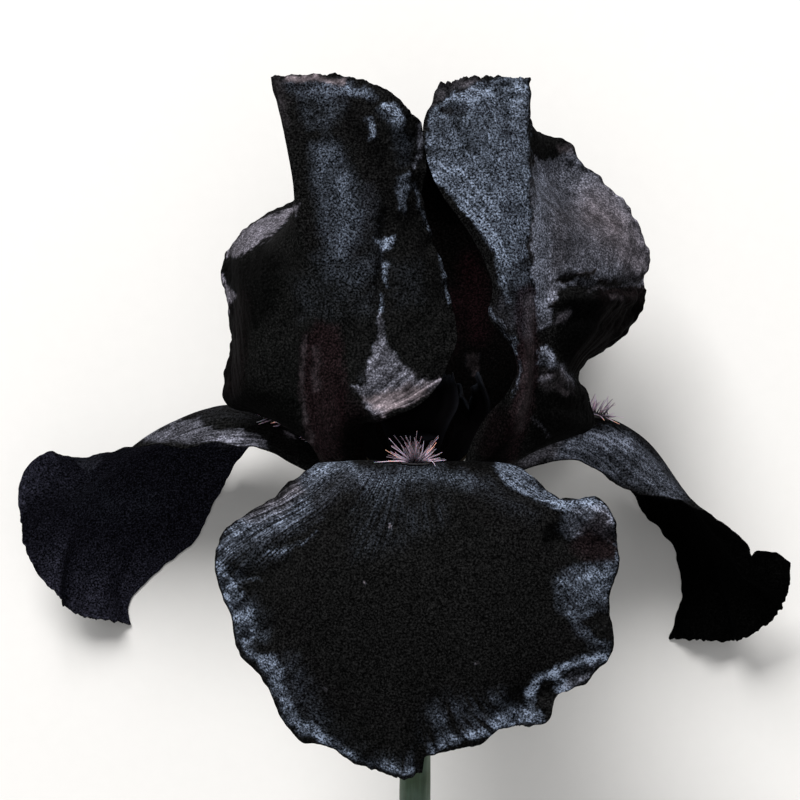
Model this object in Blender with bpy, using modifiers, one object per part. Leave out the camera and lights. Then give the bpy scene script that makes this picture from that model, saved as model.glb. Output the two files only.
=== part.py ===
"""Bearded iris flower, picked and laid on its back.

Metres, +Z up. The flower's stem runs along -Y, its standards point along +Y and its front fall faces
up, +Z. All shapes are worked out in millimetres from the heart, where the petals' claws meet, and the
whole flower is then moved so that its box stands on the floor, centred on the origin.
"""

import math
import random
from collections import namedtuple

import bmesh
import bpy
import numpy as np
from mathutils import Matrix, Vector

MM = 0.001
HEART_HEIGHT = 45.0
EYE_HEIGHT = 700.0
EYE_X, EYE_Y = -3.0, 18.0

PETAL_THICKNESS = 0.9
PETAL_ROWS, PETAL_COLUMNS = 24, 14
EDGE_CUT = 0.035
CLEARANCE = 0.3
THROAT_Y = -9.0
CLAW_Y = THROAT_Y + CLEARANCE

OVARY_FOOT_Y = -48.0
# Radius and y of the tube's and ovary's outer side, from the throat's rim to the foot
TUBE_PROFILE = [
    (0.0, THROAT_Y), (6.6, THROAT_Y), (6.3, -10.4), (4.8, -14.0), (3.4, -18.5), (3.0, -23.0),
    (3.9, -27.0), (4.5, -32.0), (4.4, -38.0), (3.5, -43.0), (2.7, -45.5), (2.6, OVARY_FOOT_Y),
    (0.0, OVARY_FOOT_Y),
]
TUBE_SIDES = 24
STEM_RADIUS, STEM_DROOP, STEM_POINTS = 3.2, 7.0, 9
STEM_TOP_Y, STEM_FOOT_Y = OVARY_FOOT_Y - CLEARANCE, -92.0

SPATHE_THICKNESS = 0.8
SPATHE_FOOT_Y, SPATHE_LENGTH = -50.5, 35.0
SPATHE_RADII = [STEM_RADIUS + CLEARANCE + 0.5, 5.2, 6.2, 6.7, 6.8, 7.4]
SPATHE_HALF_ANGLES = [78, 82, 72, 56, 36, 5]

# Angle round the stem from the front, towards the flower's right
FALL_ANGLES = {"front": 0, "left": -120, "right": 120}

# Distance from the axis and y of a style arm's middle line, which ends in its upright crest
ARM_LINE = [(0.7, -5.5), (2.6, 0), (6.4, 6), (11, 10.4), (13.8, 13), (13.6, 17.5), (12.2, 23)]
ARM_HALF_WIDTHS = [1.2, 2.2, 3.6, 5.0, 6.4, 8.6, 7.4]
ARM_ARCH = [0.3, 0.8, 1.4, 1.6, 0.9, 1.4, 1.8]
ARM_ROWS, ARM_COLUMNS, ARM_THICKNESS, CREST_NOTCH = 13, 6, 0.8, 7.0
COLUMN_RADIUS, COLUMN_TOP_Y = 1.9, -2.5

# Distance from the axis, y and radius along a stamen: a thin filament, then the anther
STAMEN = [
    (3.6, CLAW_Y, 0.55), (4.2, -5.5, 0.5), (5.6, -1.5, 0.5), (7.4, 2.2, 0.5), (8.4, 4.0, 0.55),
    (9.2, 5.2, 0.95), (11.6, 7.0, 1.0), (13.8, 8.4, 0.9), (14.6, 8.9, 0.5),
]

BEARD_THICKNESS, BEARD_COLUMNS = 0.9, 1
BEARD_ROWS = {"front": (4, 8), "left": (5, 9), "right": (6, 11)}
BEARD_HAIRS, BEARD_SEED = 30, 11
HAIR_RADIUS, HAIR_SIDES, HAIR_ROOT = 0.45, 3, 0.5
HAIR_LENGTHS = 2.2, 4.6

# A petal's curves run from its claw to its tip, as (x, y, z) where they seem to lie from the eye over
# the heart. Left and right are for someone who faces the petal from outside the upright flower. A crown
# is how far the half on that side rises from the straight way between its edge and the midrib.
Petal = namedtuple(
    "Petal",
    "name midrib left right left_crown right_crown crease ruffle waves phase",
)

FALL_FRONT = Petal(
    name="fall_front",
    midrib=[
        (0, CLAW_Y, 5.2), (0, -5, 6.2), (0, -0.8, 11), (0, 2.8, 19), (0, 4.8, 27), (0, 4.6, 33),
        (0, 0, 39), (0, -12, 43.5), (0, -28, 45.5), (0.2, -44, 44), (1, -58, 41),
    ],
    left=[
        (-2.0, CLAW_Y, 4.8), (-2.8, -5, 6.2), (-6, -0.5, 11.5), (-9, 3.2, 19), (-14, 5.2, 26),
        (-20, 5, 31), (-25, 0.8, 34), (-31, -3.6, 36), (-37.6, -7.4, 37), (-40.6, -13, 38),
        (-40, -19, 38.5), (-37.4, -26, 38.5), (-36, -32, 39), (-29.8, -38, 39.5),
        (-26.5, -44, 40), (-22, -48, 40),
    ],
    right=[
        (2.0, CLAW_Y, 4.8), (2.8, -5, 6.2), (6, -0.5, 11.5), (9, 3.2, 19), (13, 5.2, 26),
        (18, 5, 31), (22, 3.4, 34), (27, 0, 36), (31.5, -2.2, 37), (37, -1.4, 37.5),
        (40.4, -4.4, 38), (41.8, -10, 38.6), (41.6, -15, 39), (39.8, -21, 39), (39.6, -32, 39),
        (35, -37.4, 39), (28.4, -41.5, 39.5), (27, -46, 40), (22, -47.8, 40),
    ],
    left_crown=[(0, 0, 0), (0, 0.2, 0), (0, 1.5, 2), (0, 0, 2.5), (0, -2.6, 1)],
    right_crown=[(0, 0, 0), (0, 0.2, 0), (0, 1.5, 2), (0, 0, 2.5), (0, 2.2, 1)],
    crease=0.1, ruffle=1.5, waves=11, phase=0.4,
)

FALL_LEFT = Petal(
    name="fall_left",
    midrib=[
        (-4.5, CLAW_Y, -2.6), (-5.4, -5, -3.1), (-10, 1, -6.5), (-19, 8.5, -12.5), (-29, 13.8, -19),
        (-38, 16.4, -24), (-47.5, 13.8, -28), (-56, 8.4, -31.5), (-64, -1.6, -34), (-70, -11.6, -35),
        (-72, -22.5, -35),
    ],
    left=[
        (-3.5, CLAW_Y, -4.3), (-4.2, -5, -5.3), (-8, 1, -10), (-14, 6, -16), (-21, 11, -23),
        (-27, 13.5, -31), (-30.6, 11, -38), (-35.8, 5, -43), (-40.4, -3.6, -46), (-44, -10.5, -46.5),
        (-48, -13.8, -46.5), (-52.8, -18.6, -46), (-56.2, -22.8, -44.5), (-55.8, -27.6, -43),
    ],
    right=[
        (-5.5, CLAW_Y, -0.9), (-6.6, -5, -0.9), (-13, -0.5, -2.5), (-20, 3, -5), (-25, 5.4, -8),
        (-30.6, 7.8, -11), (-36, 8.8, -13), (-42, 9.3, -14), (-49, 9.5, -15), (-56, 9.5, -15),
        (-62, 7.8, -16), (-68, 6, -17), (-74, 6.6, -19), (-77.8, 4.4, -22), (-79.8, -0.4, -25),
    ],
    left_crown=[(0, 0, 0), (0, 1, 0), (-1, 2, 0), (-3, 0, -2), (-1, -2, 0)],
    right_crown=[(0, 0, 0), (0, 1, 0), (0, 0, 1), (-1, -3, -3), (-2.5, -0.5, 0)],
    crease=0.1, ruffle=1.3, waves=11, phase=1.1,
)

FALL_RIGHT = Petal(
    name="fall_right",
    midrib=[
        (4.5, CLAW_Y, -2.6), (5.4, -5, -3.1), (10, 1.5, -6.5), (18, 8.5, -11.5), (27, 13, -16.5),
        (36.5, 14.6, -21), (45, 10.8, -26), (52, 2, -31), (58, -8, -34), (62.5, -19, -36),
        (66, -30.8, -36),
    ],
    left=[
        (5.5, CLAW_Y, -0.9), (6.6, -5, -0.9), (13, 0, -2), (20, 3.4, -4.5), (26, 5.2, -7),
        (31, 5.4, -9), (36, 4, -11), (42.6, 0.6, -13), (49, -1.4, -15), (55, -3.2, -17),
        (59, -5.6, -18.2), (62.8, -8.4, -19.4), (65.4, -11, -20.2), (67.4, -13.6, -20.8),
        (69.4, -12.8, -21.4), (72.4, -12.8, -22.8), (76, -15, -25),
    ],
    right=[
        (3.5, CLAW_Y, -4.3), (4.2, -5, -5.3), (8, 1, -10), (14, 6, -16), (21, 11, -23),
        (29, 13, -30), (36, 9.5, -37), (42, 2, -42), (47.5, -5, -46), (51.4, -11, -46.5),
        (52, -19, -46.5), (49.8, -30.6, -44),
    ],
    left_crown=[(0, 0, 0), (0, 1, 0), (0, 1.5, 1), (0, 0, 1), (2.6, -2.2, 0)],
    right_crown=[(0, 0, 0), (0, 1, 0), (0, 1, 0), (0, 0, -2), (0, -0.6, 0)],
    crease=0.1, ruffle=1.3, waves=11, phase=2.3,
)

STANDARD_LEFT = Petal(
    name="standard_left",
    midrib=[
        (-3.8, CLAW_Y, 2.2), (-5, -5, 2.9), (-10, 0, 5.8), (-14.5, 4, 8.6), (-17.4, 9, 10.6),
        (-19.6, 18, 12.5), (-22, 34, 14.5), (-23.4, 50, 15.5), (-24.2, 62, 15.5),
        (-26, 72, 15), (-28.6, 83.6, 13),
    ],
    left=[
        (-4.6, CLAW_Y, 0.8), (-6.2, -5, 1), (-12, 0, 2.8), (-17, 5, 4), (-21, 10, 4),
        (-27, 13.4, 0), (-33, 15.8, -5), (-37.2, 17.4, -8), (-37.4, 22, -10), (-36.8, 27, -13),
        (-37.4, 34, -15), (-39.2, 42.4, -16), (-38.8, 48, -17), (-35.6, 52, -18), (-30, 54.8, -18),
        (-23.8, 57, -18), (-20, 60.6, -18), (-19.6, 68, -14), (-22, 77, -7),
    ],
    right=[
        (-3.0, CLAW_Y, 3.6), (-4, -5, 4.8), (-7.5, 0, 7), (-9.3, 4.4, 8), (-10, 8.5, 10.5),
        (-10, 12.5, 15.5), (-5.5, 14.2, 21.5), (0, 16.4, 22.5), (5.8, 22, 18.5), (8, 29, 14),
        (7.6, 36, 11), (6, 44, 10), (4, 51, 10.5), (2, 58, 12), (1.2, 67, 13.5), (1.2, 74.4, 14),
    ],
    left_crown=[
        (0, 0, 0), (0, 0, 1), (-3, 0, 2), (-3, 0, 3), (0, -2, 0), (5.5, -5, -3), (3, 0, 0),
    ],
    right_crown=[(0, 0, 0), (-1, -0.5, 3), (-1, 0, 4), (1, 0, 5), (2.4, 4.8, 2)],
    crease=0.75, ruffle=1.0, waves=12, phase=0.0,
)

STANDARD_RIGHT = Petal(
    name="standard_right",
    midrib=[
        (3.8, CLAW_Y, 2.2), (5, -5, 2.9), (10, 0, 5.8), (14.5, 3, 8.6), (18.6, 6.5, 10.8),
        (22, 14, 12.5), (23.6, 24, 13.5), (24, 38, 14.5), (23.4, 56, 15.5), (22.4, 70, 15),
        (22.2, 83.4, 13),
    ],
    left=[
        (3.0, CLAW_Y, 3.6), (4, -5, 4.8), (8, 0, 7), (10.5, 4.4, 7.5), (12, 9, 8),
        (13.8, 14, 9.5), (18.6, 19.5, 14.5), (20.4, 24.5, 17.5), (18, 30, 18.5),
        (14.6, 35, 18.5), (15.4, 40, 18),
        (13, 47.5, 17), (8.4, 55, 17), (4.6, 60, 17), (2.2, 66, 17), (1.2, 72.6, 16),
        (3.6, 81.4, 13),
    ],
    right=[
        (4.6, CLAW_Y, 0.8), (6.2, -5, 1), (12, 0, 2.8), (18, 4.4, 3.6), (25, 8.4, 1.5),
        (31, 10.6, -2.5), (35.6, 13, -6), (35, 17, -8), (33, 21.5, -9), (35.4, 25.4, -9.5),
        (39.6, 28.4, -10.5), (44, 32.6, -12),
        (46.4, 38, -13), (47, 45, -13), (45.4, 51.5, -13), (42, 57, -13), (37.4, 61.4, -13),
        (33.6, 65, -12), (31.4, 69.4, -9), (26.2, 72, -5), (21.5, 74.4, 0),
    ],
    left_crown=[(0, 0, 0), (1.2, 0.5, 4.5), (0, 0, 2), (0, 0, 3), (0, 1.6, 2)],
    right_crown=[
        (0, 0, 0), (0, 0, 1), (2, 0, 2), (2, 0, 4), (0.5, 0, 2), (-4, -3, -2), (-1, 0, 0),
    ],
    crease=0.75, ruffle=1.0, waves=12, phase=1.7,
)

STANDARD_BACK = Petal(
    name="standard_back",
    midrib=[
        (0, CLAW_Y, -4.4), (0, -5, -5.6), (0.5, 0, -11), (1, 5, -17), (1, 12, -25),
        (1, 22, -35), (1, 34, -43), (1, 46, -46), (1, 56, -44), (1, 63, -38), (1, 68, -30),
    ],
    left=[
        (1.8, CLAW_Y, -4.2), (2.6, -5, -5.4), (5, 0, -10), (8, 6, -15), (14, 13, -21),
        (22, 21, -26), (28, 32, -29), (30, 44, -30), (27, 55, -29), (19, 62.5, -27),
        (11, 66.5, -27),
    ],
    right=[
        (-1.8, CLAW_Y, -4.2), (-2.6, -5, -5.4), (-4.6, 0, -10), (-7, 6, -15), (-12, 13, -21),
        (-19, 21, -26), (-24, 32, -29), (-26, 44, -30), (-23, 55, -29), (-17, 62.5, -27),
        (-10, 66.5, -27),
    ],
    left_crown=[(0, 0, 0), (0, 0, 0), (3, 0, -4), (4, 2, -4), (0, 0.5, 0)],
    right_crown=[(0, 0, 0), (0, 0, 0), (-3, 0, -4), (-4, 2, -4), (0, 0.5, 0)],
    crease=0.1, ruffle=1.2, waves=11, phase=0.9,
)

PETALS = (FALL_FRONT, FALL_LEFT, FALL_RIGHT, STANDARD_LEFT, STANDARD_RIGHT, STANDARD_BACK)

# Colour in linear values, and roughness
LOOKS = {
    "velvet": ((0.012, 0.011, 0.017), 0.75),
    "beard": ((0.52, 0.42, 0.55), 0.8),
    "style": ((0.03, 0.018, 0.035), 0.6),
    "anther": ((0.45, 0.38, 0.3), 0.7),
    "green": ((0.10, 0.19, 0.09), 0.5),
    "papery": ((0.17, 0.22, 0.10), 0.6),
}


def smooth_through(points, at):
    """The smooth curve through points, read at fractions of its length."""
    points = np.asarray(points, float)
    steps = np.linalg.norm(np.diff(points, axis=0), axis=1)
    knots = np.concatenate([[0.0], np.cumsum(steps)]) / steps.sum()
    return hermite(points, knots, at)


def even_through(points, at):
    """The smooth curve through points that lie evenly from 0 to 1."""
    return hermite(np.asarray(points, float), np.linspace(0.0, 1.0, len(points)), at)


def hermite(points, knots, at):
    slopes = np.gradient(points, knots, axis=0)
    index = np.clip(np.searchsorted(knots, at, side="right") - 1, 0, len(knots) - 2)
    gap = (knots[index + 1] - knots[index])[:, None]
    s = ((at - knots[index]) / gap[:, 0])[:, None]
    start, end = points[index], points[index + 1]
    return (
        start * (1 + 2 * s) * (1 - s) ** 2
        + end * s * s * (3 - 2 * s)
        + slopes[index] * gap * s * (1 - s) ** 2
        + slopes[index + 1] * gap * s * s * (s - 1)
    )


def smoothstep(low, high, x):
    t = np.clip((x - low) / (high - low), 0, 1)
    return t * t * (3 - 2 * t)


def seen_to_true(points):
    """Moves points from where they seem to lie, seen from the eye over the heart, to their depth."""
    shrink = 1 - points[:, 2] / EYE_HEIGHT
    x = EYE_X + (points[:, 0] - EYE_X) * shrink
    y = EYE_Y + (points[:, 1] - EYE_Y) * shrink
    return np.stack([x, y, points[:, 2]], axis=1)


def bare_surface(petal, u, v):
    """The petal without its ruffles: u runs from claw to tip, v from -1 at the left edge to 1."""
    middle = smooth_through(petal.midrib, u)
    left, right = smooth_through(petal.left, u), smooth_through(petal.right, u)
    rails = [
        left,
        (left + middle) / 2 + even_through(petal.left_crown, u),
        middle,
        (middle + right) / 2 + even_through(petal.right_crown, u),
        right,
    ]
    return seen_to_true(across(rails, v, petal.crease))


def across(rails, v, crease):
    """Reads the section through five rails at v. Crease sharpens the bend at the middle one."""
    rails = np.stack(rails)
    span = 2 / (len(rails) - 1)
    slopes = np.gradient(rails, span, axis=0)
    before, after = (rails[2] - rails[1]) / span, (rails[3] - rails[2]) / span
    into = slopes[2] * (1 - crease) + before * crease
    out = slopes[2] * (1 - crease) + after * crease
    index = np.clip(((v + 1) / span).astype(int), 0, len(rails) - 2)
    rows = np.arange(len(v))
    s = ((v + 1) / span - index)[:, None]
    start_slope = np.where((index == 2)[:, None], out, slopes[index, rows])
    end_slope = np.where((index == 1)[:, None], into, slopes[index + 1, rows])
    return (
        rails[index, rows] * (1 + 2 * s) * (1 - s) ** 2
        + rails[index + 1, rows] * s * s * (3 - 2 * s)
        + start_slope * span * s * (1 - s) ** 2
        + end_slope * span * s * s * (s - 1)
    )


def normals_of(petal, u, v):
    step = 0.004
    along = bare_surface(petal, np.minimum(u + step, 1), v) - bare_surface(petal, np.maximum(u - step, 0), v)
    over = bare_surface(petal, u, np.minimum(v + step, 1)) - bare_surface(petal, u, np.maximum(v - step, -1))
    normal = np.cross(over, along)
    return normal / np.linalg.norm(normal, axis=1)[:, None]


def petal_surface(petal, u, v):
    """The petal with ruffles that fan out from its haft, a cut edge, and a flat where it meets the floor."""
    fan = np.arctan2(v, 1.4 * (u - 0.3))
    cut = EDGE_CUT * (0.2 + 0.3 * np.sin(41 * fan + petal.phase) + 0.2 * np.sin(67 * fan))
    v = v * (1 - cut * np.abs(v) ** 6 * smoothstep(0.25, 0.4, u))
    u = u * (1 - 0.6 * cut * u**12)
    rim = 1 - (1 - np.abs(v) ** 3) * (1 - u**9)
    wave = np.sin(petal.waves * fan + petal.phase) + 0.5 * np.sin(1.7 * petal.waves * fan + 1)
    height = petal.ruffle * rim * smoothstep(0.25, 0.5, u) * wave
    points = bare_surface(petal, u, v) + normals_of(petal, u, v) * height[:, None]
    points[:, 2] = np.maximum(points[:, 2], PETAL_THICKNESS / 2 - HEART_HEIGHT)
    return points


def material(look):
    found = bpy.data.materials.get(look)
    if found:
        return found
    colour, roughness = LOOKS[look]
    made = bpy.data.materials.new(look)
    made.use_nodes = True
    shader = made.node_tree.nodes["Principled BSDF"]
    shader.inputs["Base Color"].default_value = (*colour, 1)
    shader.inputs["Roughness"].default_value = roughness
    shader.inputs["Metallic"].default_value = 0.0
    return made


def add_object(name, data, look, collection):
    obj = bpy.data.objects.new(name, data)
    collection.objects.link(obj)
    data.materials.append(material(look))
    return obj


def sheet_mesh(name, rows, columns, place):
    """An open grid of rows by columns, its points put where place(u, v) says, in triangles."""
    grid = bmesh.new()
    bmesh.ops.create_grid(grid, x_segments=rows, y_segments=columns, size=1)
    flat = np.array([corner.co[:] for corner in grid.verts])
    placed = place((flat[:, 0] + 1) / 2, flat[:, 1]) * MM
    for corner, point in zip(grid.verts, placed):
        corner.co = point
    bmesh.ops.triangulate(grid, faces=grid.faces[:])
    mesh = bpy.data.meshes.new(name)
    grid.to_mesh(mesh)
    grid.free()
    mesh.shade_smooth()
    return mesh


def thicken(obj, thickness):
    solid = obj.modifiers.new("thickness", "SOLIDIFY")
    solid.thickness = thickness * MM
    solid.offset = 0
    return obj


def make_petal(petal, collection):
    mesh = sheet_mesh(
        petal.name, PETAL_ROWS, PETAL_COLUMNS, lambda u, v: petal_surface(petal, u, v)
    )
    thicken(add_object(petal.name, mesh, "velvet", collection), PETAL_THICKNESS)


def outward(angle, distance, y, sideways=0.0):
    """A point this far from the axis, at an angle round it and moved sideways along its ring."""
    turn = np.radians(angle)
    x = distance * np.sin(turn) + sideways * np.cos(turn)
    z = distance * np.cos(turn) - sideways * np.sin(turn)
    return np.stack(np.broadcast_arrays(x, y, z), axis=-1)


def baked(obj):
    """Puts the object's modifiers into its mesh."""
    graph = bpy.context.evaluated_depsgraph_get()
    mesh = bpy.data.meshes.new_from_object(obj.evaluated_get(graph))
    obj.modifiers.clear()
    obj.data = mesh
    return obj


def fused(body, repeats):
    """Joins a collection's objects to body in one Boolean union and removes them."""
    join = body.modifiers.new("union", "BOOLEAN")
    join.operation = "UNION"
    join.operand_type = "COLLECTION"
    join.collection = repeats
    join.solver = "MANIFOLD"
    baked(body)
    for obj in list(repeats.objects):
        bpy.data.objects.remove(obj, do_unlink=True)
    bpy.data.collections.remove(repeats)
    body.data.shade_smooth()
    return body


def helper_collection(name):
    made = bpy.data.collections.new(name)
    bpy.context.scene.collection.children.link(made)
    return made


def cone_mesh(name, foot, top, radius, top_radius, sides):
    """A cone or a frustum between two points."""
    foot, top = np.asarray(foot, float), np.asarray(top, float)
    way = Vector(top - foot)
    shape = bmesh.new()
    bmesh.ops.create_cone(
        shape, cap_ends=True, segments=sides, radius1=radius, radius2=top_radius,
        depth=way.length,
    )
    turn = way.to_track_quat("Z", "Y").to_matrix().to_4x4()
    move = Matrix.Translation(Vector((foot + top) / 2))
    bmesh.ops.transform(shape, matrix=Matrix.Scale(MM, 4) @ move @ turn, verts=shape.verts)
    bmesh.ops.remove_doubles(shape, verts=shape.verts, dist=1e-6)
    mesh = bpy.data.meshes.new(name)
    shape.to_mesh(mesh)
    shape.free()
    return mesh


def arm_surface(angle, u, v):
    """A style arm: it arches out over its haft, then stands up as a crest with two lobes."""
    line = even_through(ARM_LINE, u)
    half_width = even_through(np.array(ARM_HALF_WIDTHS)[:, None], u)[:, 0]
    arch = even_through(np.array(ARM_ARCH)[:, None], u)[:, 0]
    upright = smoothstep(0.5, 0.75, u)
    droop = arch * v * v
    notch = CREST_NOTCH * u**8 * (1 - np.abs(v)) ** 2
    distance = line[:, 0] - droop * upright
    y = line[:, 1] - droop * (1 - upright) - notch
    return outward(angle, distance, y, v * half_width)


def make_style(collection):
    """The column and its three arms, grown as one piece."""
    arms = helper_collection("style_arms")
    for side, angle in FALL_ANGLES.items():
        mesh = sheet_mesh(
            "arm_" + side, ARM_ROWS, ARM_COLUMNS, lambda u, v: arm_surface(angle, u, v)
        )
        baked(thicken(add_object("arm_" + side, mesh, "style", arms), ARM_THICKNESS))
    column = cone_mesh(
        "style", (0, CLAW_Y, 0), (0, COLUMN_TOP_Y, 0), COLUMN_RADIUS, COLUMN_RADIUS, 12
    )
    fused(add_object("style", column, "style", collection), arms)


def tube_curve(name, points, radii, look, collection, sides=2):
    """A tube through points, its radius given at each."""
    line = bpy.data.curves.new(name, "CURVE")
    line.dimensions = "3D"
    line.bevel_depth = MM
    line.bevel_resolution = sides
    line.use_fill_caps = True
    spline = line.splines.new("POLY")
    spline.points.add(len(points) - 1)
    for knot, point, radius in zip(spline.points, points, radii):
        knot.co = (*(np.asarray(point) * MM), 1)
        knot.radius = radius
    return add_object(name, line, look, collection)


def make_stamens(collection):
    distance, y, radius = np.array(STAMEN).T
    for side, angle in FALL_ANGLES.items():
        tube_curve("stamen_" + side, outward(angle, distance, y), radius, "anther", collection)


def beard_surface(petal, rows, u, v):
    """The strip that a beard grows from: it follows the petal's own grid, just above it."""
    first, last = rows
    on_u = (first + u * (last - first)) / PETAL_ROWS
    on_v = v * 2 * BEARD_COLUMNS / PETAL_COLUMNS
    lift = PETAL_THICKNESS / 2 + CLEARANCE + BEARD_THICKNESS / 2
    return petal_surface(petal, on_u, on_v) + upward(petal, on_u, on_v) * lift


def upward(petal, u, v):
    """The petal's normal on its upper, bearded face."""
    return -normals_of(petal, u, v)


def make_beard(side, petal, rng, collection):
    """A strip of the petal's own colour of hair, with hairs that stand and lean outwards."""
    rows = BEARD_ROWS[side]
    name = "beard_" + side
    mesh = sheet_mesh(
        name, rows[1] - rows[0], 2 * BEARD_COLUMNS, lambda u, v: beard_surface(petal, rows, u, v)
    )
    strip = baked(thicken(add_object(name, mesh, "beard", collection), BEARD_THICKNESS))
    hairs = helper_collection(name + "_hairs")
    for number in range(BEARD_HAIRS):
        u = np.array([(number + rng.uniform(0.2, 0.8)) / BEARD_HAIRS])
        v = np.array([rng.uniform(-0.85, 0.85)])
        root = beard_surface(petal, rows, u, v)[0]
        ahead = beard_surface(petal, rows, u * 0.96 + 0.04, v)[0] - root
        aside = beard_surface(petal, rows, u, v * 0.9 + 0.1)[0] - root
        on_u = (rows[0] + u * (rows[1] - rows[0])) / PETAL_ROWS
        up = upward(petal, on_u, v * 0)[0]
        lean = up + 0.45 * u[0] * unit(ahead) + 0.7 * v[0] * unit(aside)
        lean = unit(lean + np.array([rng.uniform(-0.2, 0.2) for _ in range(3)]))
        length = HAIR_LENGTHS[0] + (HAIR_LENGTHS[1] - HAIR_LENGTHS[0]) * u[0]
        hair = cone_mesh(
            "hair", root - lean * HAIR_ROOT / 2, root + lean * length, HAIR_RADIUS, 0.12, HAIR_SIDES
        )
        add_object(f"hair_{number}", hair, "beard", hairs)
    fused(strip, hairs)


def unit(vector):
    return vector / np.linalg.norm(vector)


def make_beards(collection):
    rng = random.Random(BEARD_SEED)
    for petal in (FALL_FRONT, FALL_LEFT, FALL_RIGHT):
        make_beard(petal.name.split("_")[1], petal, rng, collection)


def make_tube_and_ovary(collection):
    """The tube that carries the petals, turned in one piece with the ovary below it."""
    profile = bmesh.new()
    corners = [profile.verts.new((radius * MM, 0, y * MM)) for radius, y in TUBE_PROFILE]
    for start, end in zip(corners, corners[1:]):
        profile.edges.new((start, end))
    mesh = bpy.data.meshes.new("tube_and_ovary")
    profile.to_mesh(mesh)
    profile.free()
    obj = add_object("tube_and_ovary", mesh, "green", collection)
    obj.rotation_euler.x = -math.pi / 2
    turn = obj.modifiers.new("turned", "SCREW")
    turn.steps = turn.render_steps = TUBE_SIDES
    turn.use_merge_vertices = True
    turn.merge_threshold = 1e-5
    turn.use_smooth_shade = True


def make_stem(collection):
    along = np.linspace(0, 1, STEM_POINTS)
    y = STEM_TOP_Y + (STEM_FOOT_Y - STEM_TOP_Y) * along
    points = np.stack([0 * along, y, -STEM_DROOP * along**2], axis=1)
    tube_curve("stem", points, [STEM_RADIUS] * STEM_POINTS, "green", collection)


def spathe_surface(middle, u, v):
    """A valve that wraps the ovary, about an angle round it, and narrows to a tip."""
    radius = even_through(np.array(SPATHE_RADII)[:, None], u)[:, 0]
    half = even_through(np.array(SPATHE_HALF_ANGLES, float)[:, None], u)[:, 0]
    return outward(middle + v * half, radius, SPATHE_FOOT_Y + u * SPATHE_LENGTH)


def make_spathe(collection):
    for side, middle in (("left", -100), ("right", 80)):
        name = "spathe_" + side
        mesh = sheet_mesh(name, 14, 8, lambda u, v: spathe_surface(middle, u, v))
        thicken(add_object(name, mesh, "papery", collection), SPATHE_THICKNESS)


def stand_on_floor(collection):
    """Moves the flower, by an empty that carries it, so that its box stands centred on the origin."""
    bpy.context.view_layer.update()
    graph = bpy.context.evaluated_depsgraph_get()
    corners = []
    for obj in collection.objects:
        placed = obj.evaluated_get(graph)
        corners += [placed.matrix_world @ corner.co for corner in placed.to_mesh().vertices]
        placed.to_mesh_clear()
    low, high = np.min(corners, axis=0), np.max(corners, axis=0)
    carrier = bpy.data.objects.new("flower", None)
    collection.objects.link(carrier)
    carrier.location = (-(low[0] + high[0]) / 2, -(low[1] + high[1]) / 2, -low[2])
    for obj in collection.objects:
        if obj is not carrier:
            obj.parent = carrier


def clear_scene():
    for obj in list(bpy.data.objects):
        bpy.data.objects.remove(obj, do_unlink=True)


def main():
    clear_scene()
    flower = bpy.data.collections.new("bearded_iris_flower")
    bpy.context.scene.collection.children.link(flower)
    for petal in PETALS:
        make_petal(petal, flower)
    make_beards(flower)
    make_style(flower)
    make_stamens(flower)
    make_tube_and_ovary(flower)
    make_spathe(flower)
    make_stem(flower)
    stand_on_floor(flower)


main()
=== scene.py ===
"""Looks of a near-black bearded iris flower, picked and laid on its back, round its packed solids.

Laid out as a Blender add-on and run as a script. Metres, +Z up: the stem runs along -Y, the standards
point along +Y and the front fall faces up. Shapes are worked out in millimetres from the heart, where
the petals' claws meet, with the same curves and formulas as the solids.
"""

import itertools
import math
from collections import namedtuple

import bmesh
import bpy
import numpy as np
from bpy.props import FloatProperty, FloatVectorProperty, IntProperty, PointerProperty
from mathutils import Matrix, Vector


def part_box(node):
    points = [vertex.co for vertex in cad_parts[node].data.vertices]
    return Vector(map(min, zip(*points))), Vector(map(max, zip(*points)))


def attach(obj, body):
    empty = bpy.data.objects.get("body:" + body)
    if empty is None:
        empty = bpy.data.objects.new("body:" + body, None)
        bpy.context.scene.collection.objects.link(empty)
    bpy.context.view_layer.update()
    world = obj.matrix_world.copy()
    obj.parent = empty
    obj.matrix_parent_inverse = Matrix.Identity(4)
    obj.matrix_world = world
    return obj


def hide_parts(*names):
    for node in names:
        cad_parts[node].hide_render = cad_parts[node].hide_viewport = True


bl_info = {
    "name": "Bearded Iris Flower",
    "version": (1, 0, 0),
    "blender": (4, 5, 0),
    "location": "View3D > Sidebar > Iris",
    "description": "Builds the looks of a near-black bearded iris round its packed solids",
    "category": "Add Mesh",
}

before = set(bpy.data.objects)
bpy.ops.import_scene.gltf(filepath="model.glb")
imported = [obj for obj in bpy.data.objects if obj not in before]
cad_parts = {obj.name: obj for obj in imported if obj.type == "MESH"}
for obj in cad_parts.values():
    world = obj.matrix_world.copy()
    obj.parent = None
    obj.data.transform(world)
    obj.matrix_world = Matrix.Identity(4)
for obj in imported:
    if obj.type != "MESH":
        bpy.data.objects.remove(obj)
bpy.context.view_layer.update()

MM = 0.001

# The place of the eye over the heart, where the camera stands too
EYE_HEIGHT = 700.0
EYE_X, EYE_Y = -3.0, 18.0

# What the solids are made with: how much of a blade its teeth may cut away, the gap that keeps solids
# apart, a petal's thickness and the grid of its faces
EDGE_CUT = 0.035
CLEARANCE = 0.3
SOLID_THICKNESS = 0.9
SOLID_ROWS, SOLID_COLUMNS = 24, 14

# Where the tube's rim, the petals' claws and the ovary's foot lie
THROAT_Y = -9.0
CLAW_Y = THROAT_Y + CLEARANCE
OVARY_FOOT_Y = -48.0

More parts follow.
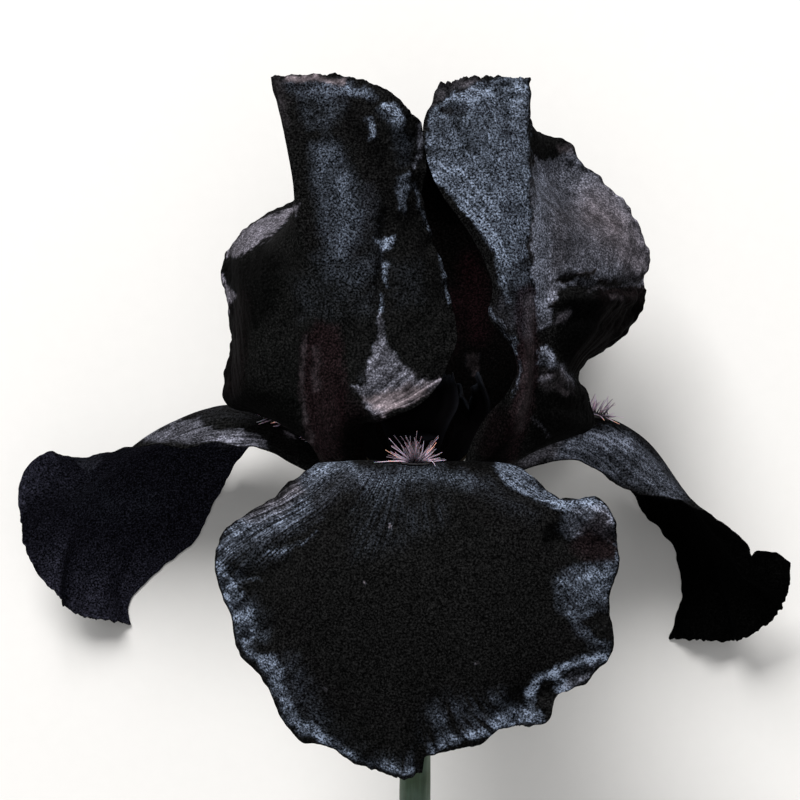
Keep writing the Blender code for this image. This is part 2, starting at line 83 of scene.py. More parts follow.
TUBE_LOW, TUBE_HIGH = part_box("tube_and_ovary")
HEART = np.array([
    (TUBE_LOW.x + TUBE_HIGH.x) / 2 / MM, TUBE_HIGH.y / MM - THROAT_Y, (TUBE_LOW.z + TUBE_HIGH.z) / 2 / MM,
])

# A petal's curves run from its claw to its tip, as (x, y, z) where they seem to lie from the eye over
# the heart. Left and right are for someone who faces the petal from outside the upright flower. A crown
# is how far the half on that side rises from the straight way between its edge and the midrib.
Petal = namedtuple(
    "Petal",
    "name midrib left right left_crown right_crown crease ruffle waves phase rim",
    defaults=(0.0,),
)

FALL_FRONT = Petal(
    name="fall_front",
    midrib=[
        (0, CLAW_Y, 5.2), (0, -5, 6.2), (0, -0.8, 11), (0, 2.8, 19), (0, 4.8, 27), (0, 4.6, 33),
        (0, 0, 39), (0, -12, 43.5), (0, -28, 45.5), (0.2, -44, 44), (1, -58, 41),
    ],
    left=[
        (-2.0, CLAW_Y, 4.8), (-2.8, -5, 6.2), (-6, -0.5, 11.5), (-9, 3.2, 19), (-14, 5.2, 26),
        (-20, 5, 31), (-25, 0.8, 34), (-31, -3.6, 36), (-37.6, -7.4, 37), (-40.6, -13, 38),
        (-40.2, -19.2, 38.5), (-38, -26.4, 38.5), (-36.6, -32.4, 39), (-30.4, -38.5, 39.5),
        (-27.2, -44.4, 40), (-22.4, -48.6, 40),
    ],
    right=[
        (2.0, CLAW_Y, 4.8), (2.8, -5, 6.2), (6, -0.5, 11.5), (9, 3.2, 19), (13, 5.2, 26),
        (18, 5, 31), (22, 3.4, 34), (27, 0, 36), (31.5, -2.2, 37), (37, -1.4, 37.5),
        (40.4, -4.4, 38), (41.8, -10, 38.6), (41.6, -15, 39), (39.8, -21, 39), (39.6, -32, 39),
        (35, -37.4, 39), (28.4, -41.5, 39.5), (27, -46, 40), (22, -47.8, 40),
    ],
    left_crown=[(0, 0, 0), (0, 0.2, 0), (0, 1.5, 2), (0, 0, 2.5), (0, -3.1, 1)],
    right_crown=[(0, 0, 0), (0, 0.2, 0), (0, 1.5, 2), (0, 0, 2.5), (0, 2.2, 1)],
    crease=0.1, ruffle=1.5, waves=11, phase=0.4, rim=0.75,
)

FALL_LEFT = Petal(
    name="fall_left",
    midrib=[
        (-4.5, CLAW_Y, -2.6), (-5.4, -5, -3.1), (-10, 1, -6.5), (-19, 8.5, -12.5), (-29, 13.8, -19),
        (-38, 16.4, -24), (-47.5, 13.8, -28), (-56, 8.4, -31.5), (-64, -1.6, -34), (-70, -11.6, -35),
        (-72, -22.5, -35),
    ],
    left=[
        (-3.5, CLAW_Y, -4.3), (-4.2, -5, -5.3), (-8, 1, -10), (-14, 6, -16), (-21, 11, -23),
        (-27, 13.5, -31), (-30.6, 11, -38), (-35.8, 5, -43), (-40.4, -3.6, -46), (-44, -10.5, -46.5),
        (-48, -13.8, -46.5), (-52.8, -18.6, -46), (-56.2, -22.8, -44.5), (-55.8, -27.6, -43),
    ],
    right=[
        (-5.5, CLAW_Y, -0.9), (-6.6, -5, -0.9), (-13, -0.5, -2.5), (-20, 3, -5), (-25, 5.4, -8),
        (-30.6, 7.8, -11), (-36, 8.8, -13), (-42, 9.3, -14), (-49, 9.5, -15), (-56, 9.5, -15),
        (-62, 7.8, -16), (-68, 6, -17), (-74, 6.6, -19), (-77.8, 4.4, -22), (-79.8, -0.4, -25),
    ],
    left_crown=[(0, 0, 0), (0, 1, 0), (-1, 2, 0), (-3, 0, -2), (-1, -2, 0)],
    right_crown=[(0, 0, 0), (0, 1, 0), (0, 0, 1), (-1, -3, -3), (-2.5, -0.5, 0)],
    crease=0.1, ruffle=1.3, waves=11, phase=1.1, rim=0.75,
)

FALL_RIGHT = Petal(
    name="fall_right",
    midrib=[
        (4.5, CLAW_Y, -2.6), (5.4, -5, -3.1), (10, 1.5, -6.5), (18, 8.5, -11.5), (27, 13, -16.5),
        (36.5, 14.6, -21), (45, 10.8, -26), (52, 2, -31), (58, -8, -34), (62.5, -19, -36),
        (66, -30.8, -36),
    ],
    left=[
        (5.5, CLAW_Y, -0.9), (6.6, -5, -0.9), (13, 0, -2), (20, 3.4, -4.5), (26, 5.2, -7),
        (31, 5.4, -9), (36, 4, -11), (42.6, 0.6, -13), (49, -1.4, -15), (55, -3.2, -17),
        (59, -5.6, -18.2), (62.8, -8.4, -19.4), (65.4, -11, -20.2), (67.4, -13.6, -20.8),
        (69.4, -12.8, -21.4), (72.4, -12.8, -22.8), (76, -15, -25),
    ],
    right=[
        (3.5, CLAW_Y, -4.3), (4.2, -5, -5.3), (8, 1, -10), (14, 6, -16), (21, 11, -23),
        (29, 13, -30), (36, 9.5, -37), (42, 2, -42), (47.5, -5, -46), (51.4, -11, -46.5),
        (52, -19, -46.5), (49.8, -30.6, -44),
    ],
    left_crown=[(0, 0, 0), (0, 1, 0), (0, 1.5, 1), (0, 0, 1), (2.6, -2.2, 0)],
    right_crown=[(0, 0, 0), (0, 1, 0), (0, 1, 0), (0, 0, -2), (0, -0.6, 0)],
    crease=0.1, ruffle=1.3, waves=11, phase=2.3, rim=0.75,
)

STANDARD_LEFT = Petal(
    name="standard_left",
    midrib=[
        (-3.8, CLAW_Y, 2.2), (-5, -5, 2.9), (-10, 0, 5.8), (-14.5, 4, 8.6), (-17.4, 9, 10.6),
        (-19.6, 18, 12.5), (-22, 34, 14.5), (-23.4, 50, 15.5), (-24.2, 62, 15.5),
        (-26, 72, 15), (-28.6, 83.6, 13),
    ],
    left=[
        (-4.6, CLAW_Y, 0.8), (-6.2, -5, 1), (-12, 0, 2.8), (-17, 5, 4), (-21, 10, 4),
        (-27, 13.4, 0), (-33, 15.8, -5), (-37.2, 17.4, -8), (-37.4, 22, -10), (-36.8, 27, -13),
        (-37.4, 34, -15), (-39.2, 42.4, -16), (-38.8, 48, -17), (-35.6, 52, -18), (-30, 54.8, -18),
        (-23.8, 57, -18), (-20, 60.6, -18), (-19.6, 68, -14), (-22, 77, -7),
    ],
    right=[
        (-3.0, CLAW_Y, 3.6), (-4, -5, 4.8), (-7.5, 0, 7), (-9.3, 4.4, 8), (-10, 8.5, 10.5),
        (-10, 12.5, 15.5), (-5.5, 14.2, 21.5), (0, 16.4, 22.5), (5.8, 22, 18.5), (8, 29, 14),
        (7.6, 36, 11), (6, 44, 10), (4, 51, 10.5), (2.3, 58, 12), (2.9, 67.5, 13.5), (1.6, 74.4, 14),
    ],
    left_crown=[
        (0, 0, 0), (0, 0, 1), (-3, 0, 2), (-3, 0, 3), (0, -2, 0), (5.5, -5, -3), (3, 0, 0),
    ],
    right_crown=[(0, 0, 0), (-1, -0.5, 3), (-1, 0, 4), (1, 0, 5), (2.4, 4.8, 2)],
    crease=0.75, ruffle=1.0, waves=12, phase=0.0,
)

STANDARD_RIGHT = Petal(
    name="standard_right",
    midrib=[
        (3.8, CLAW_Y, 2.2), (5, -5, 2.9), (10, 0, 5.8), (14.5, 3, 8.6), (18.6, 6.5, 10.8),
        (22, 14, 12.5), (23.6, 24, 13.5), (24, 38, 14.5), (23.4, 56, 15.5), (22.4, 70, 15),
        (22.2, 83.4, 13),
    ],
    left=[
        (3.0, CLAW_Y, 3.6), (4, -5, 4.8), (8, 0, 7), (9.6, 4.4, 7.5), (11.2, 9, 8),
        (13.8, 14, 9.5), (18.6, 19.5, 14.5), (20.4, 24.5, 17.5), (18, 30, 18.5),
        (14.6, 35, 18.5), (15.4, 40, 18),
        (13, 47.5, 17), (8.4, 55, 17), (4.6, 60, 17), (2.2, 66, 17), (1.2, 72.6, 16),
        (3.6, 81.4, 13),
    ],
    right=[
        (4.6, CLAW_Y, 0.8), (6.2, -5, 1), (12, 0, 2.8), (18, 4.4, 3.6), (25, 8.4, 1.5),
        (31, 10.6, -2.5), (35.6, 13, -6), (35, 17, -8), (33, 21.5, -9), (35.4, 25.4, -9.5),
        (39.6, 28.4, -10.5), (44, 32.6, -12),
        (46.4, 38, -13), (47, 45, -13), (45.4, 51.5, -13), (42, 57, -13), (37.4, 61.4, -13),
        (33.6, 65, -12), (31.4, 69.4, -9), (26.2, 72, -5), (21.5, 74.4, 0),
    ],
    left_crown=[(0, 0, 0), (1.2, 0.5, 4.5), (0, 0, 2), (0, 0, 3), (0, 1.6, 2)],
    right_crown=[
        (0, 0, 0), (0, 0, 1), (2, 0, 2), (2, 0, 4), (0.5, 0, 2), (-4, -3, -2), (-1, 0, 0),
    ],
    crease=0.75, ruffle=1.0, waves=12, phase=1.7,
)

STANDARD_BACK = Petal(
    name="standard_back",
    midrib=[
        (0, CLAW_Y, -4.4), (0, -5, -5.6), (0.5, 0, -11), (1, 5, -17), (1, 12, -25),
        (1, 22, -35), (1, 34, -43), (1, 46, -46), (1, 56, -44), (1, 63, -38), (1, 68, -30),
    ],
    left=[
        (1.8, CLAW_Y, -4.2), (2.6, -5, -5.4), (5, 0, -10), (8, 6, -15), (14, 13, -21),
        (22, 21, -26), (28, 32, -29), (30, 44, -30), (27, 55, -29), (19, 62.5, -27),
        (11, 66.5, -27),
    ],
    right=[
        (-1.8, CLAW_Y, -4.2), (-2.6, -5, -5.4), (-4.6, 0, -10), (-7, 6, -15), (-12, 13, -21),
        (-19, 21, -26), (-24, 32, -29), (-26, 44, -30), (-23, 55, -29), (-17, 62.5, -27),
        (-10, 66.5, -27),
    ],
    left_crown=[(0, 0, 0), (0, 0, 0), (3, 0, -4), (4, 2, -4), (0, 0.5, 0)],
    right_crown=[(0, 0, 0), (0, 0, 0), (-3, 0, -4), (-4, 2, -4), (0, 0.5, 0)],
    crease=0.1, ruffle=1.2, waves=11, phase=0.9,
)

FALLS = (FALL_FRONT, FALL_LEFT, FALL_RIGHT)
STANDARDS = (STANDARD_LEFT, STANDARD_RIGHT, STANDARD_BACK)

# A petal's marks are placed as they lie in a picture from the eye, in pixels of 0.2 mm from its top left
# corner. A stroke follows a line of (x, y, half width) and fades over the soft share of that. A patch
# fills an outline and fades over its soft pixels.
HEART_PIXEL = (415.0, 490.0)
PIXELS_PER_MM = 5.0
Stroke = namedtuple("Stroke", "path strength soft blush", defaults=(1.0, 0.0))
Patch = namedtuple("Patch", "outline strength soft blush", defaults=(0.0,))

# Where light and sheen on the velvet are painted into its colour as a pale bloom, with how strongly and how
# lilac and even it is. A mark below zero takes the painted light away, mostly as painted shade in hollows,
# creases and the throat.
PAINTED_LIGHT = {
    "fall_front": {
        "shoulder": Patch(
            [(296, 482), (312, 466), (333, 461), (352, 467), (372, 473), (350, 487), (332, 503), (318, 520),
             (298, 532), (272, 541), (240, 552), (212, 560), (208, 545), (216, 530), (236, 519), (262, 507),
             (284, 492)], 0.62, 9, 0.1),
        "shoulder's band": Stroke(
            [(302, 506, 8), (284, 515, 11), (262, 522, 11), (238, 532, 10), (217, 548, 9)], 0.54),
        "smooth margin": Stroke(
            [(296, 490, 6), (282, 502, 9), (266, 510, 8), (250, 518, 6)], 0.3, 1.0, 1.5),
        "upper shoulder": Stroke([(346, 480, 8), (328, 490, 9), (318, 502, 8)], -0.24),
        "shoulder's top": Stroke([(316, 468, 6), (334, 462, 6), (350, 466, 5)], 0.56),
        "shoulder's light": Stroke([(310, 486, 7), (324, 474, 7)], 0.3),
        "lines' haze": Stroke([(218, 562, 10), (244, 562, 12), (280, 552, 9)], 0.4),
        "lower lines' haze": Stroke([(218, 576, 9), (236, 577, 8)], 0.46),
        "light line": Stroke(
            [(262, 556, 2.2), (280, 551, 2.2), (298, 546, 1.8), (318, 533, 1.5)], 0.45, 0.9),
        "lower light line": Stroke([(226, 566, 2.5), (240, 574, 2), (260, 580, 1.5)], 0.35, 0.9),
        "left margin": Patch(
            [(210, 558), (222, 562), (230, 578), (242, 592), (254, 610), (258, 630), (254, 640), (244, 646),
             (236, 640), (230, 618), (220, 596), (213, 578)], 1.0, 5),
        "lower left margin": Patch(
            [(242, 648), (262, 653), (278, 656), (284, 668), (284, 684), (290, 700), (300, 716), (316, 728),
             (334, 736), (330, 744), (306, 736), (288, 724), (276, 698), (264, 674), (256, 660)], 0.86, 4),
        "bottom left": Stroke(
            [(318, 734, 6), (334, 746, 7), (350, 758, 6), (372, 766, 5), (396, 772, 6),
             (416, 774, 7)], 0.8),
        "bottom fringe": Stroke([(330, 728, 14), (352, 748, 12), (380, 760, 10), (400, 760, 8)], 0.18),
        "left haze": Stroke([(252, 602, 8), (260, 620, 13), (264, 635, 8)], 0.36),
        "margin's light": Stroke([(252, 651, 7), (264, 659, 6)], 0.26),
        "inner haze": Stroke([(292, 664, 12), (302, 694, 16), (318, 716, 12)], 0.34),
        "top edge": Stroke([(372, 479, 9), (384, 478, 9), (415, 474, 9), (440, 470, 9)], 0.2),
        "top centre": Patch(
            [(352, 476), (382, 468), (415, 466), (447, 468), (476, 476), (488, 484), (448, 490), (415, 490),
             (376, 504), (352, 492)], 0.44, 12),
        "upper haze": Patch(
            [(350, 505), (400, 500), (450, 500), (446, 526), (405, 548), (350, 562)], 0.26, 14),
        "top right haze": Patch(
            [(446, 466), (470, 474), (496, 480), (520, 496), (548, 512), (530, 524), (500, 512), (470, 500),
             (450, 486)], 0.2, 10),
        "upper right": Patch(
            [(495, 461), (510, 464), (524, 469), (545, 486), (566, 503), (560, 510), (540, 504), (520, 495),
             (504, 485), (496, 474)], 1.16, 3),
        "throat's shadow": Stroke([(450, 462, 5), (470, 463, 5), (490, 463, 5)], -0.5, 0.9),
        "right corner": Patch(
            [(562, 504), (578, 500), (592, 497), (606, 499), (613, 512), (604, 510), (592, 516), (582, 527),
             (568, 539), (557, 531), (562, 516)], 1.05, 4),
        "corner's haze": Patch(
            [(573, 510), (606, 506), (616, 526), (610, 541), (590, 532), (566, 537),
             (558, 526)], 0.96, 5, 0.4),
        "right rim": Stroke([(612, 514, 4), (618, 536, 3.5), (619, 560, 3)], 0.8, 0.8),
        "fold's line": Stroke([(560, 570, 2), (580, 567, 3), (616, 566, 3)], 0.25),
        "fold's haze": Stroke([(600, 567, 6), (612, 565, 6)], 0.3),
        "right patch": Patch(
            [(554, 578), (568, 571), (590, 568), (616, 566), (613, 590), (609, 602), (594, 604), (580, 608),
             (572, 618), (564, 616), (558, 604), (555, 592)], 0.66, 7),
        "patch's light": Stroke([(590, 577, 8), (604, 580, 9), (600, 594, 7)], 0.35),
        "patch's foot": Patch(
            [(568, 616), (590, 608), (612, 606), (612, 650), (600, 655), (586, 646), (576, 634)], 0.6, 5),
        "patch's bars": Stroke([(614, 619, 7), (600, 620, 6), (588, 622, 4)], -1.1, 0.9),
        "lower bars": Stroke([(614, 633, 6), (602, 633, 4), (592, 630, 2)], -0.9, 0.9),
        "lip": Stroke(
            [(527, 690, 4), (538, 680, 4.5), (553, 672, 3.5), (570, 664, 4), (590, 659, 5.5),
             (609, 658, 6)], 1.3, 0.9),
        "lip's light": Stroke([(592, 662, 6), (608, 661, 6)], 0.5),
        "lip's hollow": Patch(
            [(560, 690), (565, 674), (588, 665), (598, 662), (590, 678), (575, 688)], 0.62, 2.5, 0.3),
        "lip's fold": Stroke([(552, 674, 5), (558, 684, 7), (562, 690, 5)], 1.6, 0.9),
        "knot": Stroke([(546, 686, 6), (545, 700, 8), (547, 712, 6)], -1.3, 0.9),
        "right bottom": Patch(
            [(520, 690), (532, 682), (538, 692), (538, 708), (546, 718), (543, 723), (524, 724), (508, 730),
             (498, 737), (484, 741), (480, 733), (486, 725), (498, 712), (514, 708), (526, 702)], 0.92, 4),
        "knot's foot": Stroke([(538, 716, 5), (543, 720, 5)], 0.6),
        "bottom right": Stroke([(478, 737, 6), (450, 741, 7), (434, 750, 6), (425, 760, 4)], 0.78),
        "combed bottom": Patch(
            [(416, 752), (424, 706), (448, 694), (470, 700), (500, 692), (512, 704), (478, 724),
             (440, 738)], 0.33, 16),
        "bottom comb": Stroke([(472, 728, 8), (488, 719, 9), (502, 710, 8)], 0.26),
        "combs": Stroke([(437, 714, 3), (438, 742, 3)], 0.12),
        "right combs": Stroke([(447, 710, 3), (448, 738, 3)], 0.15),
        "bottom haze": Stroke([(440, 700, 10), (480, 700, 12), (504, 698, 12)], 0.08),
        "tip": Stroke([(388, 768, 8), (408, 770, 9)], 0.4),
        "tip's streak": Stroke([(410, 752, 4), (411, 768, 5)], 0.15),
        "tip's bar": Stroke([(421, 748, 3), (421, 780, 3)], -1.0, 0.9),
        "dark rim": Stroke(
            [(424, 764, 3.5), (440, 754, 3.5), (462, 746, 3.5), (482, 743, 3), (500, 737, 2)], -1.2, 0.8),
        # Four tiny painted glints of pale lilac light on the velvet
        "first painted glint": Stroke([(389, 527, 1.4), (390, 527, 1.4)], 1.0, 0.7, 1.0),
        "second painted glint": Stroke([(364, 580, 1.4), (365, 580, 1.4)], 1.0, 0.7, 1.0),
        "third painted glint": Stroke([(326, 689, 1.4), (327, 689, 1.4)], 1.0, 0.7, 1.0),
        "fourth painted glint": Stroke([(478, 664, 1.4), (479, 664, 1.4)], 1.0, 0.7, 1.0),
    },
    "fall_left": {
        "haft strip": Patch(
            [(137, 442), (160, 428), (202, 417), (206, 427), (222, 430), (240, 429), (257, 435), (270, 448),
             (253, 448), (208, 445), (168, 444)], 0.88, 2.5, 0.4),
        "strip's light": Stroke([(222, 443, 6), (242, 443, 8), (262, 446, 6)], 0.6, 1.0, 0.4),
        "haft band": Patch(
            [(203, 407), (240, 400), (262, 408), (262, 426), (240, 424), (205, 422)], 0.22, 3, 0.3),
        "corner": Patch([(71, 455), (88, 476), (105, 453), (96, 449), (78, 449)], 1.5, 2, 0.3),
        "white spot": Stroke([(286, 434, 4), (292, 437, 4)], 1.2, 0.8, 0.6),
        "haze": Stroke([(85, 495, 20), (120, 505, 22), (150, 500, 18)], 0.9),
    },
    "fall_right": {
        "arch": Patch(
            [(556, 462), (560, 446), (580, 438), (600, 429), (632, 436), (662, 466), (688, 502), (664, 500),
             (626, 486), (590, 470), (560, 466)], 0.82, 6, 0.15),
        "arch's light": Stroke(
            [(572, 439, 7), (588, 438, 9), (606, 438, 9), (624, 442, 7)], 1.1, 1.0, 0.15),
        "haft": Patch(
            [(516, 464), (530, 452), (548, 444), (560, 442), (558, 460), (524, 468)], 0.6, 4, 0.5),
        "haft's strip": Stroke([(556, 433, 3), (578, 432, 3)], 0.6, 0.8, 0.4),
        "haft's line": Stroke([(550, 441, 2), (566, 437, 2), (584, 436, 1.5)], -0.5, 0.8),
        "upper rim": Stroke([(604, 418, 3), (632, 430, 3), (660, 458, 3), (684, 492, 3)], 0.2, 0.9, 0.2),
    },
    "standard_left": {
        "column": Patch(
            [(309, 142), (330, 139), (340, 144), (347, 160), (357, 180), (363, 200), (367, 225), (362, 241),
             (352, 254), (340, 260), (328, 260), (322, 245), (318, 225), (314, 200), (310, 175),
             (307, 158)], 0.52, 9),
        "column's core": Stroke([(334, 155, 14), (340, 190, 17), (342, 225, 14), (340, 240, 9)], 0.2),
        "column's foot": Stroke([(318, 258, 9), (334, 266, 13), (356, 270, 13)], 0.3),
        "column's halo": Stroke(
            [(370, 190, 8), (374, 212, 8), (374, 235, 8), (370, 262, 10)], 0.28, 1.0, 0.1),
        "column's top": Patch(
            [(294, 94), (350, 92), (346, 106), (330, 132), (308, 134), (300, 112)], 0.42, 8),
        "dark dash": Stroke([(306, 135, 2), (318, 135, 2)], -0.5, 0.8),
        "top band": Stroke([(292, 84, 7), (320, 87, 9), (346, 88, 8)], 0.7),
        "lilac rim": Stroke([(288, 79, 3), (320, 78, 3.5), (345, 83, 3)], 0.8, 0.9, 2.0),
        "left strip": Stroke([(277, 80, 6), (282, 100, 6), (287, 125, 4)], 0.4, 1.0, 0.8),
        "ridge's bump": Patch([(350, 88), (366, 87), (378, 95), (371, 104), (364, 99), (352, 97)], 0.75, 4),
        "bump": Patch(
            [(376, 112), (384, 104), (393, 103), (400, 108), (404, 118), (402, 128), (394, 122), (386, 118),
             (380, 118)], 1.12, 4),
        "bump's pits": Stroke([(386, 112, 2), (391, 115, 2.5), (393, 109, 1.5)], -0.7),
        "bump's tail": Stroke([(396, 122, 7), (400, 138, 6)], 0.6),
        "island": Stroke([(370, 120, 2.5), (371, 136, 3)], 0.85, 0.9),
        "middle bump": Stroke([(403, 142, 10), (404, 158, 8)], 0.4),
        "lower island": Patch(
            [(398, 176), (408, 174), (410, 186), (407, 200), (404, 214), (397, 208), (395, 190)], 0.9, 3),
        "upper margin": Stroke(
            [(422, 125, 3), (421, 142, 3), (418, 156, 2.6), (415, 168, 1.8)], 0.9, 0.9, 0.3),
        "middle margin": Stroke([(414, 184, 2.5), (420, 205, 2.5), (424, 218, 2)], 0.65, 0.9),
        "right margin": Stroke(
            [(426, 222, 1.6), (437, 243, 1.6), (441, 262, 2.2), (445, 285, 1.8), (449, 304, 2)], 0.8, 0.9),
        "bright cluster": Patch(
            [(374, 237), (381, 239), (389, 238), (396, 235), (395, 243), (389, 250), (380, 248)], 1.0, 1.5),
        "cluster's tail": Stroke([(382, 250, 4), (380, 262, 3)], 0.28),
        "middle haze": Patch([(388, 262), (420, 260), (428, 290), (420, 310), (394, 308)], 0.2, 12),
        "lower haze": Patch(
            [(292, 274), (330, 268), (374, 268), (378, 300), (370, 322), (340, 322), (300, 320)], 0.22, 12),
        "drop": Stroke([(386, 265, 3.2), (386, 278, 2.6), (387, 288, 1.4)], 1.1, 0.9),
        "thread": Stroke([(381, 296, 1.8), (381, 314, 2.4)], 0.9, 0.9),
        "lit triangle": Patch(
            [(380, 312), (386, 328), (388, 340), (391, 350), (400, 360), (411, 368), (416, 380), (428, 382),
             (445, 378), (443, 381), (432, 392), (420, 398), (410, 408), (392, 412), (382, 418), (368, 410),
             (362, 402), (363, 394), (350, 386), (366, 384), (369, 360), (372, 345),
             (378, 330)], 0.98, 1.5, 0.4),
        "triangle's foot": Patch(
            [(364, 398), (400, 388), (442, 379), (424, 396), (408, 408), (382, 418)], -0.1, 5, -6.0),
        "triangle's side": Stroke(
            [(404, 368, 4), (418, 380, 5), (430, 384, 5), (444, 380, 5)], 0.5, 1.0, 0.5),
        "triangle's edge": Stroke([(368, 405, 5), (384, 414, 6)], 0.44, 1.0, 0.5),
        "triangle's band": Stroke(
            [(364, 383, 4), (386, 385, 5), (412, 386, 5), (438, 382, 4)], 0.28, 1.0, 0.4),
        "triangle's halo": Patch([(370, 342), (366, 384), (352, 388), (358, 374)], 0.12, 4),
        "lobe's rim": Patch(
            [(300, 203), (280, 213), (262, 220), (246, 229), (234, 243), (224, 258), (230, 258), (242, 257),
             (254, 248), (270, 238), (284, 224), (297, 211)], 1.08, 1.5, 0.6),
        "lobe's edge": Patch(
            [(222, 272), (228, 284), (238, 294), (232, 303), (230, 312), (227, 312),
             (226, 296)], 1.1, 1.5, 0.6),
        "claw's line": Stroke(
            [(306, 338, 2.5), (303, 370, 2.5), (304, 404, 3), (310, 440, 3)], 0.42, 0.9, 0.9),
        "claw's light": Stroke([(317, 350, 5), (317, 390, 5)], 0.34, 0.9, 0.9),
    },
    "standard_right": {
        "front": Patch(
            [(428, 116), (436, 106), (448, 98), (462, 91), (478, 82), (500, 78), (527, 78), (529, 150),
             (529, 230), (528, 254), (520, 262), (508, 266), (500, 268), (496, 262), (493, 252), (484, 240),
             (474, 222), (455, 203), (445, 186), (431, 178), (425, 160), (426, 135)], 0.95, 2.5),
        "front's light": Stroke(
            [(460, 155, 8), (474, 178, 10), (490, 203, 11), (504, 226, 10), (508, 242, 8)], 0.2),
        "inner shade": Stroke([(448, 194, 5), (464, 214, 7), (480, 236, 7)], -0.22),
        "middle shade": Stroke([(480, 108, 7), (482, 136, 9), (482, 160, 9)], -0.12),
        "upper light": Stroke([(452, 99, 6), (468, 97, 8), (486, 94, 7)], 0.24),
        "left shade": Patch([(426, 114), (448, 112), (450, 150), (436, 158), (424, 150)], -0.26, 8),
        "front's end": Patch([(502, 264), (529, 258), (530, 282), (514, 286), (504, 284)], 0.42, 6),
        "front's shade": Stroke([(500, 108, 9), (506, 130, 10)], -0.25),
        "upper hollow": Stroke([(443, 109, 3), (450, 114, 4)], -0.65, 0.9),
        "hollow": Stroke([(458, 110, 4), (460, 124, 6)], -0.38),
        "small hollow": Stroke([(466, 148, 3), (471, 151, 2)], -0.5),
        "rim": Stroke(
            [(425, 160, 1.8), (430, 174, 2.2), (437, 182, 2), (448, 190, 1.5), (466, 212, 1.5),
             (484, 240, 1.5)], 0.25, 0.9),
        "rim's line": Stroke([(530, 80, 1.3), (531, 262, 1.3)], -0.4, 0.8),
        "front's foot": Patch(
            [(498, 270), (531, 266), (534, 300), (528, 340), (514, 340), (506, 316), (498, 290)], 0.3, 9),
        "foot's streak": Stroke([(502, 272, 2.5), (504, 286, 3.5), (507, 300, 2.5)], 0.45, 0.9),
        "curl": Stroke([(500, 306, 8), (507, 322, 8)], 0.26, 1.0, 0.5),
        "rolled edge": Stroke(
            [(488, 308, 2), (500, 322, 2.5), (510, 338, 2), (517, 352, 1.8), (521, 366, 1.4),
             (519, 382, 1.0), (512, 397, 0.8)], 0.66, 0.9),
        "flap": Patch(
            [(430, 112), (431, 97), (436, 88), (446, 80), (462, 75), (482, 79), (462, 88), (446, 96),
             (434, 106)], 0.42, 1.5, 0.6),
        "flap's light": Stroke([(454, 83, 4), (468, 84, 4)], 0.35, 1.0, 0.7),
        "claw's light": Stroke(
            [(528, 300, 5), (529, 360, 5), (524, 400, 6), (519, 424, 7)], 0.42, 1.0, 1.0),
        "claw's thread": Stroke([(531, 417, 1.2), (541, 427, 1.4), (550, 437, 1.2)], 0.6, 0.9, 0.5),
        "lobe": Patch(
            [(531, 156), (545, 160), (560, 155), (572, 149), (584, 160), (598, 173), (618, 191), (637, 207),
             (651, 237), (656, 262), (654, 286), (600, 286), (568, 285), (558, 290), (553, 302), (550, 326),
             (538, 332), (535, 300), (531, 262), (530, 200)], 0.98, 2.5, 0.3),
        "lobe's band": Stroke(
            [(537, 176, 8), (537, 215, 7), (539, 245, 9), (538, 290, 6), (540, 314, 5)], 0.28),
        "lobe's shade": Patch(
            [(554, 212), (590, 206), (622, 222), (626, 262), (600, 268), (554, 266)], -0.22, 12),
        "lobe's dip": Stroke([(558, 216, 8), (556, 250, 8), (554, 290, 6)], -0.14),
        "lobe's lilac": Stroke([(600, 205, 22), (630, 235, 20), (640, 262, 18)], 0.14, 1.0, 3.2),
        "wrinkle": Stroke([(558, 281, 1.6), (574, 277, 2), (592, 272, 1.4)], -1.2, 0.8),
        "second wrinkle": Stroke([(598, 283, 2), (618, 283, 2)], -0.8, 0.8),
        "wrinkle's light": Stroke([(572, 282, 1.5), (586, 280, 1.5)], 0.5, 0.9),
        "lower light": Stroke([(586, 291, 1.8), (606, 288, 1.8)], 0.4, 0.9, 0.6),
        "crease": Stroke([(552, 305, 2), (566, 295, 2), (585, 290, 2)], -0.6, 0.9),
        "lit bar": Stroke([(556, 322, 3), (562, 316, 4), (567, 312, 3)], 0.75, 0.9, 0.6),
        "light streak": Stroke([(610, 296, 1.8), (620, 301, 2.2), (629, 307, 1.4)], 0.45, 0.9, 0.9),
        "haft's patch": Patch(
            [(534, 364), (538, 350), (545, 342), (551, 350), (556, 364), (550, 369),
             (540, 365)], 1.16, 2.5, 0.2),
        "haft's lights": Stroke([(538, 378, 3), (550, 377, 3)], 0.7, 0.9, 0.4),
        "lower lights": Stroke([(556, 383, 4), (564, 391, 4)], 0.6, 0.9, 0.9),
        "haft's slant": Stroke([(560, 367, 2.5), (572, 384, 2.5)], 0.6, 0.9, 0.3),
        "haft's haze": Patch(
            [(538, 366), (560, 368), (572, 384), (576, 396), (548, 394), (538, 386)], 0.35, 4, 0.8),
        "rolled top": Stroke([(560, 148, 4), (570, 146, 5)], 0.6, 0.9, 0.9),
    },
    "standard_back": {
        "drop": Patch(
            [(467, 354), (474, 352), (480, 356), (481, 368), (476, 380), (470, 374),
             (466, 364)], 0.55, 2, 1.0),
    },
}
